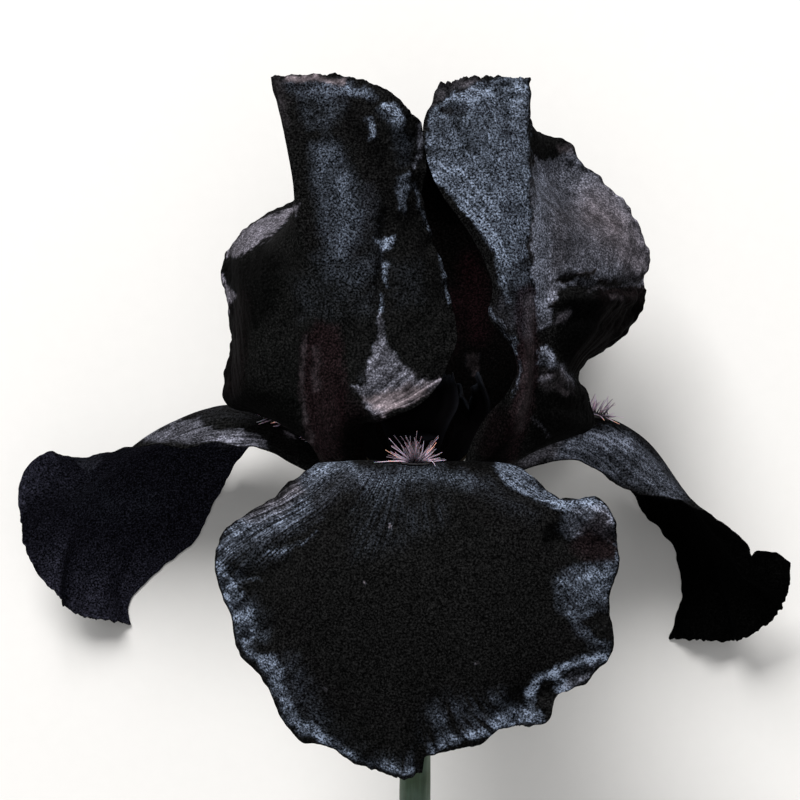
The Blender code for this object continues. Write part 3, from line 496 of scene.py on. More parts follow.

# Where a petal's flesh shows plum or maroon through its black. The shaded corner and shaded lobe are partly
# that flesh and partly painted shade.
FLUSH = {
    "fall_front": {
        "shaded corner": Patch(
            [(578, 528), (598, 516), (612, 520), (616, 560), (600, 565), (582, 562), (570, 548)], 0.5, 6),
    },
    "standard_left": {
        "claw": Patch(
            [(303, 338), (318, 322), (340, 326), (346, 380), (346, 420), (342, 464), (312, 464), (306, 430),
             (302, 390)], 0.72, 5),
        "claw's red side": Stroke([(346, 400, 8), (360, 430, 12), (360, 462, 12)], 0.5),
        "lobe's red edge": Stroke([(240, 300, 8), (238, 345, 8), (234, 390, 6)], 0.4),
    },
    "standard_right": {
        "claw": Patch(
            [(520, 285), (537, 290), (538, 360), (535, 392), (528, 425), (512, 464), (500, 464), (505, 435),
             (514, 400), (520, 380), (517, 340), (512, 310)], 0.8, 4),
        "claw's plum side": Stroke([(498, 420, 10), (492, 448, 10)], 0.6),
        "shaded lobe": Patch(
            [(598, 290), (645, 288), (640, 320), (620, 345), (590, 360), (575, 372), (575, 350),
             (600, 330)], 0.5, 6),
    },
    "standard_back": {
        "vein": Stroke([(470, 262, 10), (474, 298, 14), (478, 335, 10)], 0.28),
        "side vein": Stroke([(452, 300, 8), (450, 345, 8)], 0.2),
    },
}

# Where a petal lies in its neighbours' shade and its velvet is blacker
SHADE = {
    "fall_front": {"throat": Stroke([(452, 460, 8), (490, 462, 8)], 0.6)},
    "standard_left": {
        "lobe": Patch(
            [(218, 262), (244, 262), (264, 246), (284, 262), (278, 310), (256, 330), (242, 372), (262, 390),
             (298, 394), (306, 450), (240, 450), (215, 400), (222, 340)], 0.64, 9),
        "throat's side": Patch([(334, 372), (352, 392), (376, 425), (380, 470), (340, 470)], 0.5, 8),
        "dark fold": Stroke([(350, 112, 7), (361, 134, 9), (376, 154, 9)], 0.5),
    },
    "standard_right": {
        "lobe": Patch(
            [(562, 300), (600, 292), (645, 300), (650, 340), (600, 380), (572, 372), (556, 344)], 0.75, 8),
        "haft": Patch([(536, 392), (600, 392), (610, 450), (530, 450)], 0.6, 6),
        "throat's side": Patch([(472, 470), (486, 420), (508, 396), (512, 420), (506, 470)], 0.7, 6),
    },
    "standard_back": {
        "throat": Patch([(430, 150), (500, 240), (520, 330), (520, 440), (430, 440), (440, 300)], 0.5, 12),
    },
}

# Where the painted light is combed along the veins
COMBED = {
    "fall_front": {
        "shoulder": Patch(
            [(205, 562), (212, 528), (258, 504), (300, 478), (350, 462), (460, 462), (455, 520), (380, 560),
             (300, 572), (252, 590), (215, 582)], 0.5, 12),
        "bottom": Patch([(380, 690), (500, 690), (502, 735), (430, 762), (415, 776), (372, 762)], 0.65, 12),
    },
}

# Notches in a petal's end: where they start and how wide they are, as v, and their depth in mm, which is
# below zero where the end stands out
NOTCHES = {"fall_front": [(0.02, 0.5, 3.6)], "standard_right": [(-1.0, 0.3, -2.2)]}

# Where a petal stands out towards the eye, or sinks where below zero, in mm
FOLDS = {
    "fall_front": {
        "corner's hollow": Stroke([(556, 540, 10), (584, 536, 16), (612, 540, 12)], -2.4),
        "corner": Stroke([(560, 514, 10), (584, 506, 14), (606, 508, 12)], 1.0),
        "patch": Stroke([(575, 590, 16), (590, 630, 16)], 1.0),
        "left pleats": Stroke([(232, 578, 6), (262, 574, 6), (290, 566, 6)], -0.7),
        "lower left pleat": Stroke([(244, 640, 6), (272, 628, 8)], -0.8),
        "lip's hollow": Stroke([(546, 694, 7), (574, 680, 8), (594, 668, 6)], -0.9),
        "bottom fold": Stroke([(444, 756, 7), (446, 730, 8), (440, 700, 8)], -0.9),
        "bottom right fold": Stroke([(510, 730, 8), (500, 700, 9)], 0.8),
    },
    "standard_left": {
        "groove": Stroke([(386, 216, 6), (383, 262, 6), (381, 306, 8)], -1.2),
        "bulge": Stroke([(414, 275, 22), (418, 322, 30)], 1.6),
        "lit hollow": Stroke([(384, 340, 8), (390, 385, 16)], -0.8),
        "bump": Stroke([(386, 112, 12), (398, 128, 10)], 1.0),
        "bump's hollow": Stroke([(372, 108, 5), (380, 134, 6), (388, 160, 6)], -0.9),
        "lower bump": Stroke([(406, 178, 9), (402, 205, 9)], 0.9),
        "claw's ridge": Stroke([(306, 330, 8), (308, 370, 10), (318, 420, 10), (330, 456, 8)], 1.1),
        "claw's furrow": Stroke([(352, 330, 8), (352, 380, 10), (362, 430, 10)], -0.8),
        "lobe's bulge": Stroke([(262, 300, 26), (258, 350, 26)], 1.2),
        "lobe's dimple": Stroke([(282, 270, 10), (290, 330, 10)], -0.7),
    },
    "standard_right": {
        "rolled corner": Stroke([(436, 104, 7), (448, 88, 7), (476, 80, 5)], -0.7),
        "corner's pits": Stroke([(444, 110, 5), (460, 114, 6)], -0.4),
        "upper wrinkle": Stroke([(566, 282, 6), (604, 290, 7), (646, 282, 6)], -1.1),
        "mid wrinkle": Stroke([(556, 300, 6), (590, 298, 7), (628, 296, 6)], 0.9),
        "lower wrinkle": Stroke([(574, 318, 6), (606, 322, 7), (634, 310, 6)], -0.7),
        "haft wrinkle": Stroke([(540, 352, 5), (556, 376, 6), (582, 392, 6)], 0.8),
        "second haft wrinkle": Stroke([(556, 404, 6), (580, 412, 6)], -0.7),
    },
}


def smooth_through(points, at):
    """The smooth curve through points, read at fractions of its length."""
    points = np.asarray(points, float)
    steps = np.linalg.norm(np.diff(points, axis=0), axis=1)
    knots = np.concatenate([[0.0], np.cumsum(steps)]) / steps.sum()
    return hermite(points, knots, at)


def even_through(points, at):
    """The smooth curve through points that lie evenly from 0 to 1."""
    return hermite(np.asarray(points, float), np.linspace(0.0, 1.0, len(points)), at)


def hermite(points, knots, at):
    slopes = np.gradient(points, knots, axis=0)
    index = np.clip(np.searchsorted(knots, at, side="right") - 1, 0, len(knots) - 2)
    gap = (knots[index + 1] - knots[index])[:, None]
    s = ((at - knots[index]) / gap[:, 0])[:, None]
    start, end = points[index], points[index + 1]
    return (
        start * (1 + 2 * s) * (1 - s) ** 2
        + end * s * s * (3 - 2 * s)
        + slopes[index] * gap * s * (1 - s) ** 2
        + slopes[index + 1] * gap * s * s * (s - 1)
    )


def smoothstep(low, high, x):
    t = np.clip((x - low) / (high - low), 0, 1)
    return t * t * (3 - 2 * t)


def seen_to_true(points):
    """Moves points from where they seem to lie, seen from the eye over the heart, to their depth."""
    shrink = 1 - points[:, 2] / EYE_HEIGHT
    x = EYE_X + (points[:, 0] - EYE_X) * shrink
    y = EYE_Y + (points[:, 1] - EYE_Y) * shrink
    return np.stack([x, y, points[:, 2]], axis=1)


def bare_surface(petal, u, v):
    """The petal without its ruffles: u runs from claw to tip, v from -1 at the left edge to 1."""
    middle = smooth_through(petal.midrib, u)
    left, right = smooth_through(petal.left, u), smooth_through(petal.right, u)
    rails = [
        left,
        (left + middle) / 2 + even_through(petal.left_crown, u),
        middle,
        (middle + right) / 2 + even_through(petal.right_crown, u),
        right,
    ]
    return seen_to_true(across(rails, v, petal.crease))


def across(rails, v, crease):
    """Reads the section through five rails at v. Crease sharpens the bend at the middle one."""
    rails = np.stack(rails)
    span = 2 / (len(rails) - 1)
    slopes = np.gradient(rails, span, axis=0)
    before, after = (rails[2] - rails[1]) / span, (rails[3] - rails[2]) / span
    into = slopes[2] * (1 - crease) + before * crease
    out = slopes[2] * (1 - crease) + after * crease
    index = np.clip(((v + 1) / span).astype(int), 0, len(rails) - 2)
    rows = np.arange(len(v))
    s = ((v + 1) / span - index)[:, None]
    start_slope = np.where((index == 2)[:, None], out, slopes[index, rows])
    end_slope = np.where((index == 1)[:, None], into, slopes[index + 1, rows])
    return (
        rails[index, rows] * (1 + 2 * s) * (1 - s) ** 2
        + rails[index + 1, rows] * s * s * (3 - 2 * s)
        + start_slope * span * s * (1 - s) ** 2
        + end_slope * span * s * s * (s - 1)
    )


def normals_of(petal, u, v):
    step = 0.004
    low_u, high_u = np.maximum(u - step, 0), np.minimum(u + step, 1)
    low_v, high_v = np.maximum(v - step, -1), np.minimum(v + step, 1)
    along = bare_surface(petal, high_u, v) - bare_surface(petal, low_u, v)
    over = bare_surface(petal, u, high_v) - bare_surface(petal, u, low_v)
    return unit(np.cross(over, along))


def unit(vectors):
    return vectors / np.linalg.norm(vectors, axis=-1, keepdims=True)


def linear(hex_colour):
    """An sRGB hex colour as linear values."""
    shares = [int(hex_colour[at : at + 2], 16) / 255 for at in (1, 3, 5)]
    return tuple(c / 12.92 if c <= 0.04045 else ((c + 0.055) / 1.055) ** 2.4 for c in shares)


def colour_of(name, description, hex_colour):
    return FloatVectorProperty(
        name=name, description=description, subtype="COLOR", size=3, min=0, max=1,
        default=linear(hex_colour),
    )


def length_of(name, description, millimetres):
    return FloatProperty(
        name=name, description=description, unit="LENGTH", subtype="DISTANCE", min=0, precision=5,
        default=millimetres * MM,
    )


class IrisPetalSizes(bpy.types.PropertyGroup):
    """Sizes of the petals' tissue."""

    thickness: length_of("Thickness", "Thickness of a blade near its midrib", 0.5)
    rim_thickness: length_of("Rim thickness", "Thickness at a blade's margin", 0.22)
    crimp_height: length_of("Crimp height", "How far the margin's crimps rise and dip", 0.8)
    crimp_length: length_of("Crimp length", "Distance from one crimp of the margin to the next", 3.6)
    tooth_depth: length_of("Tooth depth", "Depth of the fine nicks in the margin", 0.36)
    vein_spacing: length_of("Vein spacing", "Distance between neighbouring veins on the blade", 0.6)
    vein_height: length_of("Vein height", "How far the veins stand out of the tissue", 0.06)
    grain: length_of("Grain", "Size of the velvet's specks, drawn coarser than the real cells", 0.38)


class IrisBeardSizes(bpy.types.PropertyGroup):
    """Sizes of the beards' hairs."""

    hairs: IntProperty(name="Hairs", description="Number of hairs in a beard", default=130, min=10)
    thickness: length_of("Hair thickness", "Thickness of a hair at its root", 0.2)
    shortest: length_of("Shortest", "Length of a hair at the throat", 3.2)
    longest: length_of("Longest", "Length of a hair at the beard's outer end", 5.6)
    seed: IntProperty(name="Seed", description="Seed of the hairs' places and bends", default=11, min=0)


class IrisColours(bpy.types.PropertyGroup):
    """Colours of the flower, as linear values."""

    velvet: colour_of("Velvet", "A petal's near-black body colour", "#0c0c0c")
    # The falls' outer faces and the standards' inner faces are near black and painted darker still for the
    # shade they lie in; the left fall's outer face is a lit copy, painted lighter where it turns up to the
    # light
    underside: colour_of("Underside", "A fall's outer face", "#020202")
    lit_underside: colour_of("Lit underside", "The left fall's outer face, turned up to the sky", "#18181f")
    inside: colour_of("Inside", "A standard's inner face", "#070606")
    # Bloom and blush colour the light and sheen painted on the velvet and the style; bloom also tints the
    # velvet's sheen
    bloom: colour_of("Bloom", "The cool bloom where light grazes the velvet", "#8b97ac")
    blush: colour_of("Blush", "The bloom where it is lilac", "#aea0a7")
    plum: colour_of("Plum", "The smooth brown-plum claws", "#140c0e")
    maroon: colour_of("Maroon", "A dark red vein inside a standard", "#200a10")
    hair_root: colour_of("Hair root", "A beard hair at its root", "#1b1220")
    hair_body: colour_of("Hair", "A beard hair along its length", "#b8a8bb")
    hair_tip: colour_of("Hair tip", "The few rusty tips", "#d69a86")
    style: colour_of("Style", "The style arms and their crests", "#050405")
    pollen: colour_of("Pollen", "The anthers", "#4f473c")
    green: colour_of("Green", "The stem and ovary", "#3b4e34")
    glaucous: colour_of("Glaucous", "The waxy bloom on the green parts", "#5a6e60")
    paper: colour_of("Paper", "The spathes' dry papery margin", "#a39a74")
    filament: colour_of("Filament", "The stamens' filaments", "#6d5a70")
    pith: colour_of("Pith", "The cut stem's pith", "#c9d3a8")
    floor: colour_of("Floor", "The plain pale floor", "#dedcd9")


class IrisStage(bpy.types.PropertyGroup):
    """The light of the stage."""

    key: FloatProperty(name="Key", description="Power of the key light", unit="POWER", default=150, min=0)
    fill: FloatProperty(
        name="Fill", description="Power of the overhead fill", unit="POWER", default=3, min=0
    )
    sky: FloatProperty(
        name="Sky", description="Strength of the even light from all sides", default=0.36, min=0
    )


# Sizes of the materials' patterns in mm, the fibres' across and along, and how many of the velvet's
# grains a blotch is wide. Pollen grains are about 0.1 mm and are drawn coarser, so that they show.
STREAK_LENGTH, STYLE_MOTTLE, POLLEN_GRIT = 18.0, 1.2, 0.18
STEM_FIBRE, SPATHE_FIBRE = (0.7, 14.0), (0.6, 20.0)
RUBBED_WAX, SPATHE_BLOTCH, PITH_FIBRE, ROLLER_GRAIN = 5.0, 4.0, 0.7, 3.0
BLOTCH_GRAINS = 7.0

# How bright the painted light is between the velvet's cones and on their tips, each where it is blue-grey
# and where it is lilac, and how bright the body colour is between them and on them
PIT_PAINTED_LIGHT, TIP_PAINTED_LIGHT = (0.0, 0.65), (4.2, 2.0)
PIT_BODY, TIP_BODY = 0.1, 4.2

# What the dimmest and the brightest blotch leave of the painted light, and the most painted light anywhere
DIM_BLOTCH, BRIGHT_BLOTCH, MOST_PAINTED_LIGHT = 0.11, 0.27, 0.9

# The stretch of its noise over which each pattern of the velvet goes from one end to the other
SPECK_NOISE, COMB_NOISE, BLOTCH_NOISE = (0.32, 0.72), (0.4, 0.6), (0.36, 0.64)

# The stretches of a hair over which its dark root fades and its rusty tip comes in
DARK_ROOT, RUSTY_TIP = (0.05, 0.55), (0.55, 0.8)


def add_node(tree, kind, inputs=(), output=0, **settings):
    """Adds a node with its settings and gives its output. Inputs has a value or another node's output for
    each input, by name or number. A MapRange takes its value, old range and new range as 0 to 4. A colour
    Mix takes its share as 0 and its colours as 6 and 7, and gives the mixed colour as output 2."""
    node = tree.nodes.new("ShaderNode" + kind)
    for name, value in settings.items():
        setattr(node, name, value)
    for key, value in dict(inputs).items():
        if isinstance(value, bpy.types.NodeSocket):
            tree.links.new(value, node.inputs[key])
        else:
            node.inputs[key].default_value = value
    return node.outputs[output]


def new_material(name, **shader_inputs):
    """A material with a bare Principled shader, given by its sockets' names with _ for spaces."""
    made = bpy.data.materials.new(name)
    made.use_nodes = True
    shader = made.node_tree.nodes["Principled BSDF"]
    for key, value in shader_inputs.items():
        shader.inputs[key.replace("_", " ")].default_value = value
    return made, made.node_tree, shader


def rgba(colour):
    return (*colour, 1.0)


def petal_velvet(name, colours, sizes, body, flush, share, comb):
    """Iris petal tissue: a skin of tiny cone-shaped cells full of near-black pigment, grown over fine
    veins. The cones swallow light seen straight on and glint blue-grey where it grazes them, so the
    surface is matt black with a speckled bloom. That glint, and the light and shade of the petal's marks,
    are painted into the base colour. Share is how much of the petal's painted light this face shows,
    and comb how much of it is combed along the veins."""
    made, tree, shader = new_material(
        name, IOR=1.4, Specular_IOR_Level=0.01, Sheen_Weight=0.005, Sheen_Roughness=0.3,
        Sheen_Tint=rgba(colours.bloom),
    )
    place = add_node(tree, "TexCoord", output="Object")
    veins = add_node(tree, "Attribute", output="Vector", attribute_name="veins")
    bloom, blush, flushed, shade, combing = (
        add_node(tree, "Attribute", output="Fac", attribute_name=kept)
        for kept in ("bloom", "blush", "flush", "shade", "combing")
    )
    along_veins = add_node(
        tree, "Mapping", {"Vector": veins, "Scale": (MM / sizes.vein_spacing, 1 / STREAK_LENGTH, 0)}
    )
    streak = add_node(
        tree, "TexNoise", {"Vector": along_veins, "Scale": 1.0, "Detail": 2.0, "Roughness": 0.6}
    )
    grain = add_node(
        tree, "TexNoise", {"Vector": place, "Scale": 1 / sizes.grain, "Detail": 2.0, "Roughness": 0.65}
    )
    blotch = add_node(
        tree, "TexNoise", {"Vector": place, "Scale": 1 / (BLOTCH_GRAINS * sizes.grain), "Detail": 2.0}
    )
    rise = add_node(tree, "MapRange", {0: grain, 1: SPECK_NOISE[0], 2: SPECK_NOISE[1]})
    speck = add_node(tree, "Math", {0: rise, 1: 2.0}, operation="POWER")
    dimmest = add_node(tree, "MapRange", {0: blush, 3: PIT_PAINTED_LIGHT[0], 4: PIT_PAINTED_LIGHT[1]})
    brightest = add_node(tree, "MapRange", {0: blush, 3: TIP_PAINTED_LIGHT[0], 4: TIP_PAINTED_LIGHT[1]})
    specked = add_node(tree, "MapRange", {0: speck, 3: dimmest, 4: brightest})
    swing = add_node(tree, "Math", {0: combing, 1: comb}, operation="MULTIPLY")
    least = add_node(tree, "Math", {0: 1.0, 1: swing}, operation="SUBTRACT")
    most = add_node(tree, "Math", {0: 1.0, 1: swing}, operation="ADD")
    combed = add_node(
        tree, "MapRange", {0: streak, 1: COMB_NOISE[0], 2: COMB_NOISE[1], 3: least, 4: most}
    )
    blotched = add_node(tree, "MapRange", {
        0: blotch, 1: BLOTCH_NOISE[0], 2: BLOTCH_NOISE[1], 3: DIM_BLOTCH * share, 4: BRIGHT_BLOTCH * share,
    })
    caught = bloom
    for factor in (specked, combed, blotched):
        caught = add_node(tree, "Math", {0: caught, 1: factor}, operation="MULTIPLY")
    lit = add_node(tree, "Math", {0: caught, 1: MOST_PAINTED_LIGHT}, operation="MINIMUM")
    hue = add_node(tree, "Mix", {0: flushed, 6: rgba(body), 7: rgba(flush)}, 2, data_type="RGBA")
    depth = add_node(tree, "MapRange", {0: speck, 3: PIT_BODY, 4: TIP_BODY})
    open_share = add_node(tree, "Math", {0: 1.0, 1: shade}, operation="SUBTRACT")
    shaded = add_node(tree, "Math", {0: depth, 1: open_share}, operation="MULTIPLY")
    ground = add_node(tree, "HueSaturation", {"Value": shaded, "Color": hue})
    haze = add_node(
        tree, "Mix", {0: blush, 6: rgba(colours.bloom), 7: rgba(colours.blush)}, 2, data_type="RGBA"
    )
    final = add_node(tree, "Mix", {0: lit, 6: ground, 7: haze}, 2, data_type="RGBA")
    tree.links.new(final, shader.inputs["Base Color"])
    roughness = add_node(tree, "MapRange", {0: flushed, 3: 0.8, 4: 0.5})
    tree.links.new(roughness, shader.inputs["Roughness"])
    relief = add_node(
        tree, "Bump", {"Height": streak, "Distance": sizes.vein_height * 2, "Strength": 0.5}
    )
    skin = add_node(
        tree, "Bump", {"Height": grain, "Distance": 0.1 * MM, "Strength": 0.5, "Normal": relief}
    )
    tree.links.new(skin, shader.inputs["Normal"])
    return made


def beard_hair(colours):
    """Beard hair: many-celled translucent hairs, dark at the root and pale lilac along their length,
    with rust on a few tips. Their wet, smooth skin gives each a fine glint."""
    made, tree, shader = new_material(
        "beard_hair", Roughness=0.5, IOR=1.4, Specular_IOR_Level=0.25, Subsurface_Weight=0.2,
        Subsurface_Scale=0.3 * MM,
    )
    along, rust, tone = (
        add_node(tree, "Attribute", output="Fac", attribute_name=kept) for kept in ("along", "rust", "tone")
    )
    out_of_root = add_node(tree, "MapRange", {0: along, 1: DARK_ROOT[0], 2: DARK_ROOT[1]})
    body = add_node(
        tree, "Mix", {0: out_of_root, 6: rgba(colours.hair_root), 7: rgba(colours.hair_body)}, 2,
        data_type="RGBA",
    )
    near_tip = add_node(tree, "MapRange", {0: along, 1: RUSTY_TIP[0], 2: RUSTY_TIP[1]})
    rusty = add_node(tree, "Math", {0: rust, 1: near_tip}, operation="MULTIPLY")
    rusted = add_node(tree, "Mix", {0: rusty, 6: body, 7: rgba(colours.hair_tip)}, 2, data_type="RGBA")
    toned = add_node(tree, "HueSaturation", {"Value": tone, "Color": rusted})
    tree.links.new(toned, shader.inputs["Base Color"])
    return made


def style_tissue(colours):
    """Style tissue: petal-like and smooth, near-black violet, with a mottled painted blue-grey highlight
    towards the crests and on the arms' margins.
    """
    made, tree, shader = new_material("style_tissue", Roughness=0.7, IOR=1.4, Specular_IOR_Level=0.02)
    place = add_node(tree, "TexCoord", output="Object")
    mottle = add_node(tree, "TexNoise", {"Vector": place, "Scale": 1 / (STYLE_MOTTLE * MM), "Detail": 3.0})
    rim = add_node(tree, "Attribute", output="Fac", attribute_name="bloom")
    haze = add_node(tree, "Math", {0: mottle, 1: rim}, operation="MULTIPLY", use_clamp=True)
    final = add_node(
        tree, "Mix", {0: haze, 6: rgba(colours.style), 7: rgba(colours.bloom)}, 2, data_type="RGBA"
    )
    tree.links.new(final, shader.inputs["Base Color"])
    skin = add_node(tree, "Bump", {"Height": mottle, "Distance": 0.1 * MM, "Strength": 0.5})
    tree.links.new(skin, shader.inputs["Normal"])
    return made


def pollen_grain(colours):
    """Dry pollen on an anther: cream to tan, granular and fully matt."""
    made, tree, shader = new_material("pollen", Roughness=0.95, IOR=1.4, Specular_IOR_Level=0.2)
    place = add_node(tree, "TexCoord", output="Object")
    grit = add_node(tree, "TexNoise", {"Vector": place, "Scale": 1 / (POLLEN_GRIT * MM), "Detail": 2.0})
    shade = add_node(tree, "MapRange", {0: grit, 1: 0.3, 2: 0.7, 3: 0.6, 4: 1.2})
    toned = add_node(tree, "HueSaturation", {"Value": shade, "Color": rgba(colours.pollen)})
    tree.links.new(toned, shader.inputs["Base Color"])
    skin = add_node(tree, "Bump", {"Height": grit, "Distance": 0.12 * MM, "Strength": 0.8})
    tree.links.new(skin, shader.inputs["Normal"])
    return made


def waxy_green(colours):
    """Green stalk skin: smooth living tissue under a thin rubbed coat of pale wax, finely ribbed."""
    found = bpy.data.materials.get("waxy_green")
    if found:
        return found
    made, tree, shader = new_material(
        "waxy_green", Roughness=0.5, IOR=1.42, Specular_IOR_Level=0.4, Subsurface_Weight=0.1,
        Subsurface_Scale=1.0 * MM,
    )
    place = add_node(tree, "TexCoord", output="Object")
    across, along = (1 / (size * MM) for size in STEM_FIBRE)
    lengthwise = add_node(tree, "Mapping", {"Vector": place, "Scale": (across, along, across)})
    fibre = add_node(tree, "TexNoise", {"Vector": lengthwise, "Scale": 1.0, "Detail": 3.0})
    rubbed = add_node(tree, "TexNoise", {"Vector": place, "Scale": 1 / (RUBBED_WAX * MM), "Detail": 4.0})
    wax = add_node(tree, "MapRange", {0: rubbed, 1: 0.35, 2: 0.65, 3: 0.15, 4: 0.75})
    shade = add_node(tree, "MapRange", {0: fibre, 1: 0.3, 2: 0.7, 3: 0.75, 4: 1.15})
    waxed = add_node(
        tree, "Mix", {0: wax, 6: rgba(colours.green), 7: rgba(colours.glaucous)}, 2, data_type="RGBA"
    )
    toned = add_node(tree, "HueSaturation", {"Value": shade, "Color": waxed})
    tree.links.new(toned, shader.inputs["Base Color"])
    ribs = add_node(tree, "Bump", {"Height": fibre, "Distance": 0.15 * MM, "Strength": 0.6})
    tree.links.new(ribs, shader.inputs["Normal"])
    return made


def spathe_paper(colours):
    """A spathe valve: green and leathery at its base, drying to thin brown paper at the margin."""
    made, tree, shader = new_material("spathe_paper", Roughness=0.6, IOR=1.42, Specular_IOR_Level=0.35)
    place = add_node(tree, "TexCoord", output="Object")
    dry = add_node(tree, "Attribute", output="Fac", attribute_name="bloom")
    across, along = (1 / (size * MM) for size in SPATHE_FIBRE)
    lengthwise = add_node(tree, "Mapping", {"Vector": place, "Scale": (across, along, across)})
    fibre = add_node(tree, "TexNoise", {"Vector": lengthwise, "Scale": 1.0, "Detail": 3.0})
    blotch = add_node(tree, "TexNoise", {"Vector": place, "Scale": 1 / (SPATHE_BLOTCH * MM), "Detail": 3.0})
    edge = add_node(tree, "MapRange", {0: blotch, 1: 0.3, 2: 0.7, 3: -0.3, 4: 0.3})
    dried = add_node(tree, "Math", {0: dry, 1: edge}, operation="ADD", use_clamp=True)
    mixed = add_node(
        tree, "Mix", {0: dried, 6: rgba(colours.green), 7: rgba(colours.paper)}, 2, data_type="RGBA"
    )
    shade = add_node(tree, "MapRange", {0: fibre, 1: 0.3, 2: 0.7, 3: 0.7, 4: 1.2})
    toned = add_node(tree, "HueSaturation", {"Value": shade, "Color": mixed})
    tree.links.new(toned, shader.inputs["Base Color"])
    ribs = add_node(tree, "Bump", {"Height": fibre, "Distance": 0.15 * MM, "Strength": 0.7})
    tree.links.new(ribs, shader.inputs["Normal"])
    return made


def cut_pith(colours):
    """A freshly cut stalk: wet pale pith with the dots of cut fibres."""
    made, tree, shader = new_material("cut_pith", Roughness=0.4, IOR=1.38, Specular_IOR_Level=0.5)
    place = add_node(tree, "TexCoord", output="Object")
    dots = add_node(tree, "TexVoronoi", {"Vector": place, "Scale": 1 / (PITH_FIBRE * MM)})
    fibre = add_node(tree, "MapRange", {0: dots, 1: 0.1, 2: 0.3})
    final = add_node(
        tree, "Mix", {0: fibre, 6: rgba(colours.green), 7: rgba(colours.pith)}, 2, data_type="RGBA"
    )
    tree.links.new(final, shader.inputs["Base Color"])
    return made


def pale_floor(colours):
    """Matt painted board: pale, even, with a faint roller grain."""
    made, tree, shader = new_material("pale_floor", Roughness=0.9, Specular_IOR_Level=0.2)
    place = add_node(tree, "TexCoord", output="Object")
    roller = add_node(tree, "TexNoise", {"Vector": place, "Scale": 1 / (ROLLER_GRAIN * MM), "Detail": 2.0})
    shade = add_node(tree, "MapRange", {0: roller, 3: 0.985, 4: 1.015})
    toned = add_node(tree, "HueSaturation", {"Value": shade, "Color": rgba(colours.floor)})
    tree.links.new(toned, shader.inputs["Base Color"])
    return made


# The noise's slopes, drawn once, and what mixes a cell's place into the number of its slope
SLOPES = unit(np.random.default_rng(5).normal(size=(1021, 3)))
CELL_PRIMES = (7919, 104729, 1299709)

# Sizes in mm at which a mark is jogged and how far in pixels, and how far apart in the noise two
# readings are that have nothing to do with each other
MARK_JOGS = ((3.0, 3.2), (0.8, 2.4))
NOISE_APART = 50.0


def to_row(points):
    """Millimetres from the heart as metres in the row frame."""
    return (np.asarray(points) + HEART) * MM


def true_to_seen(points):
    """Where points seem to lie, seen from the eye over the heart."""
    grow = 1 / (1 - points[:, 2] / EYE_HEIGHT)
    x = EYE_X + (points[:, 0] - EYE_X) * grow
    return np.stack([x, EYE_Y + (points[:, 1] - EYE_Y) * grow], axis=1)


def waver(x, y, z):
    """Smooth noise, from about -1 to 1, at each place: slopes drawn at the corners of unit cells."""
    spots = np.stack(np.broadcast_arrays(x, y, z), axis=1)
    cell = np.floor(spots).astype(np.int64)
    part = spots - cell
    fade = part**3 * (part * (part * 6 - 15) + 10)
    total = np.zeros(len(spots))
    for corner in itertools.product((0, 1), repeat=3):
        i, j, k = ((cell + corner) * CELL_PRIMES).T
        slope = SLOPES[(i ^ j ^ k) % len(SLOPES)]
        share = np.where(corner, fade, 1 - fade).prod(axis=1)
        total += share * ((part - corner) * slope).sum(axis=1)
    return total * 1.6


def in_picture(points):
    """Where points lie in the picture from the eye, in pixels, a little jogged so that no mark on them
    is cleanly edged."""
    seen = true_to_seen(points) * (PIXELS_PER_MM, -PIXELS_PER_MM) + HEART_PIXEL
    x, y, z = points.T
    for size, jog in MARK_JOGS:
        seen[:, 0] += jog * waver(x / size, y / size, z / size)
        seen[:, 1] += jog * waver(x / size, y / size + NOISE_APART, z / size)
    return seen


def segment_gaps(seen, start, end):
    """Each point's distance from a segment, and its place along it."""
    way = end - start
    share = np.clip((seen - start) @ way / (way @ way), 0, 1)
    return np.linalg.norm(seen - start - share[:, None] * way, axis=1), share


def cover(mark, seen):
    """How strongly a stroke or patch covers each place in the picture."""
    if isinstance(mark, Stroke):
        path = np.array(mark.path, float)
        share = np.zeros(len(seen))
        for start, end in zip(path, path[1:]):
            gap, along = segment_gaps(seen, start[:2], end[:2])
            reach = start[2] + (end[2] - start[2]) * along
            share = np.maximum(share, 1 - smoothstep(1 - mark.soft, 1 + mark.soft, gap / reach))
        return share * mark.strength
    outline = np.array(mark.outline, float)
    gaps, inside = np.full(len(seen), np.inf), np.zeros(len(seen), bool)
    x, y = seen.T
    for start, end in zip(outline, np.roll(outline, -1, axis=0)):
        gaps = np.minimum(gaps, segment_gaps(seen, start, end)[0])
        if start[1] != end[1]:
            meets = start[0] + (y - start[1]) * (end[0] - start[0]) / (end[1] - start[1])
            inside ^= ((start[1] > y) != (end[1] > y)) & (x < meets)
    depth = np.where(inside, gaps, -gaps)
    return smoothstep(-mark.soft, mark.soft, depth) * mark.strength


def covers(marks, seen):
    """The sum of a petal's marks at each place in the picture."""
    return sum((cover(mark, seen) for mark in marks.values()), np.zeros(len(seen)))


# Half the width that the veins would fill if they didn't close in on the tip, and a middling petal's
# length from claw to tip and half width, in mm
VEINS_HALF_WIDTH, BLADE_LENGTH, BLADE_HALF_WIDTH = 70.0, 95.0, 38.0

# Ruffles and teeth fan out from this place on the midrib, where the stretch weighs a blade's length
# against its half width. The teeth are counted in a radian of the fan.
FAN_FOOT, FAN_STRETCH = 0.3, 1.4
TEETH, FINE_TEETH = 19, 41

# Pleats along the veins: their height inside the blade and what the margin adds, their size across the
# veins and along them in mm, and which noise they read. Then the size and noise of the raised veins.
PLEATS = ((0.35, 0.4, 7.0, 26.0, 0), (0.16, 0.16, 2.6, 14.0, 3))
RIDGE_WIDTH, RIDGE_LENGTH, RIDGE_NOISE = 1.8, 30.0, 9

# How wide the steep side of a notch is, as v
NOTCH_SIDE = 0.03


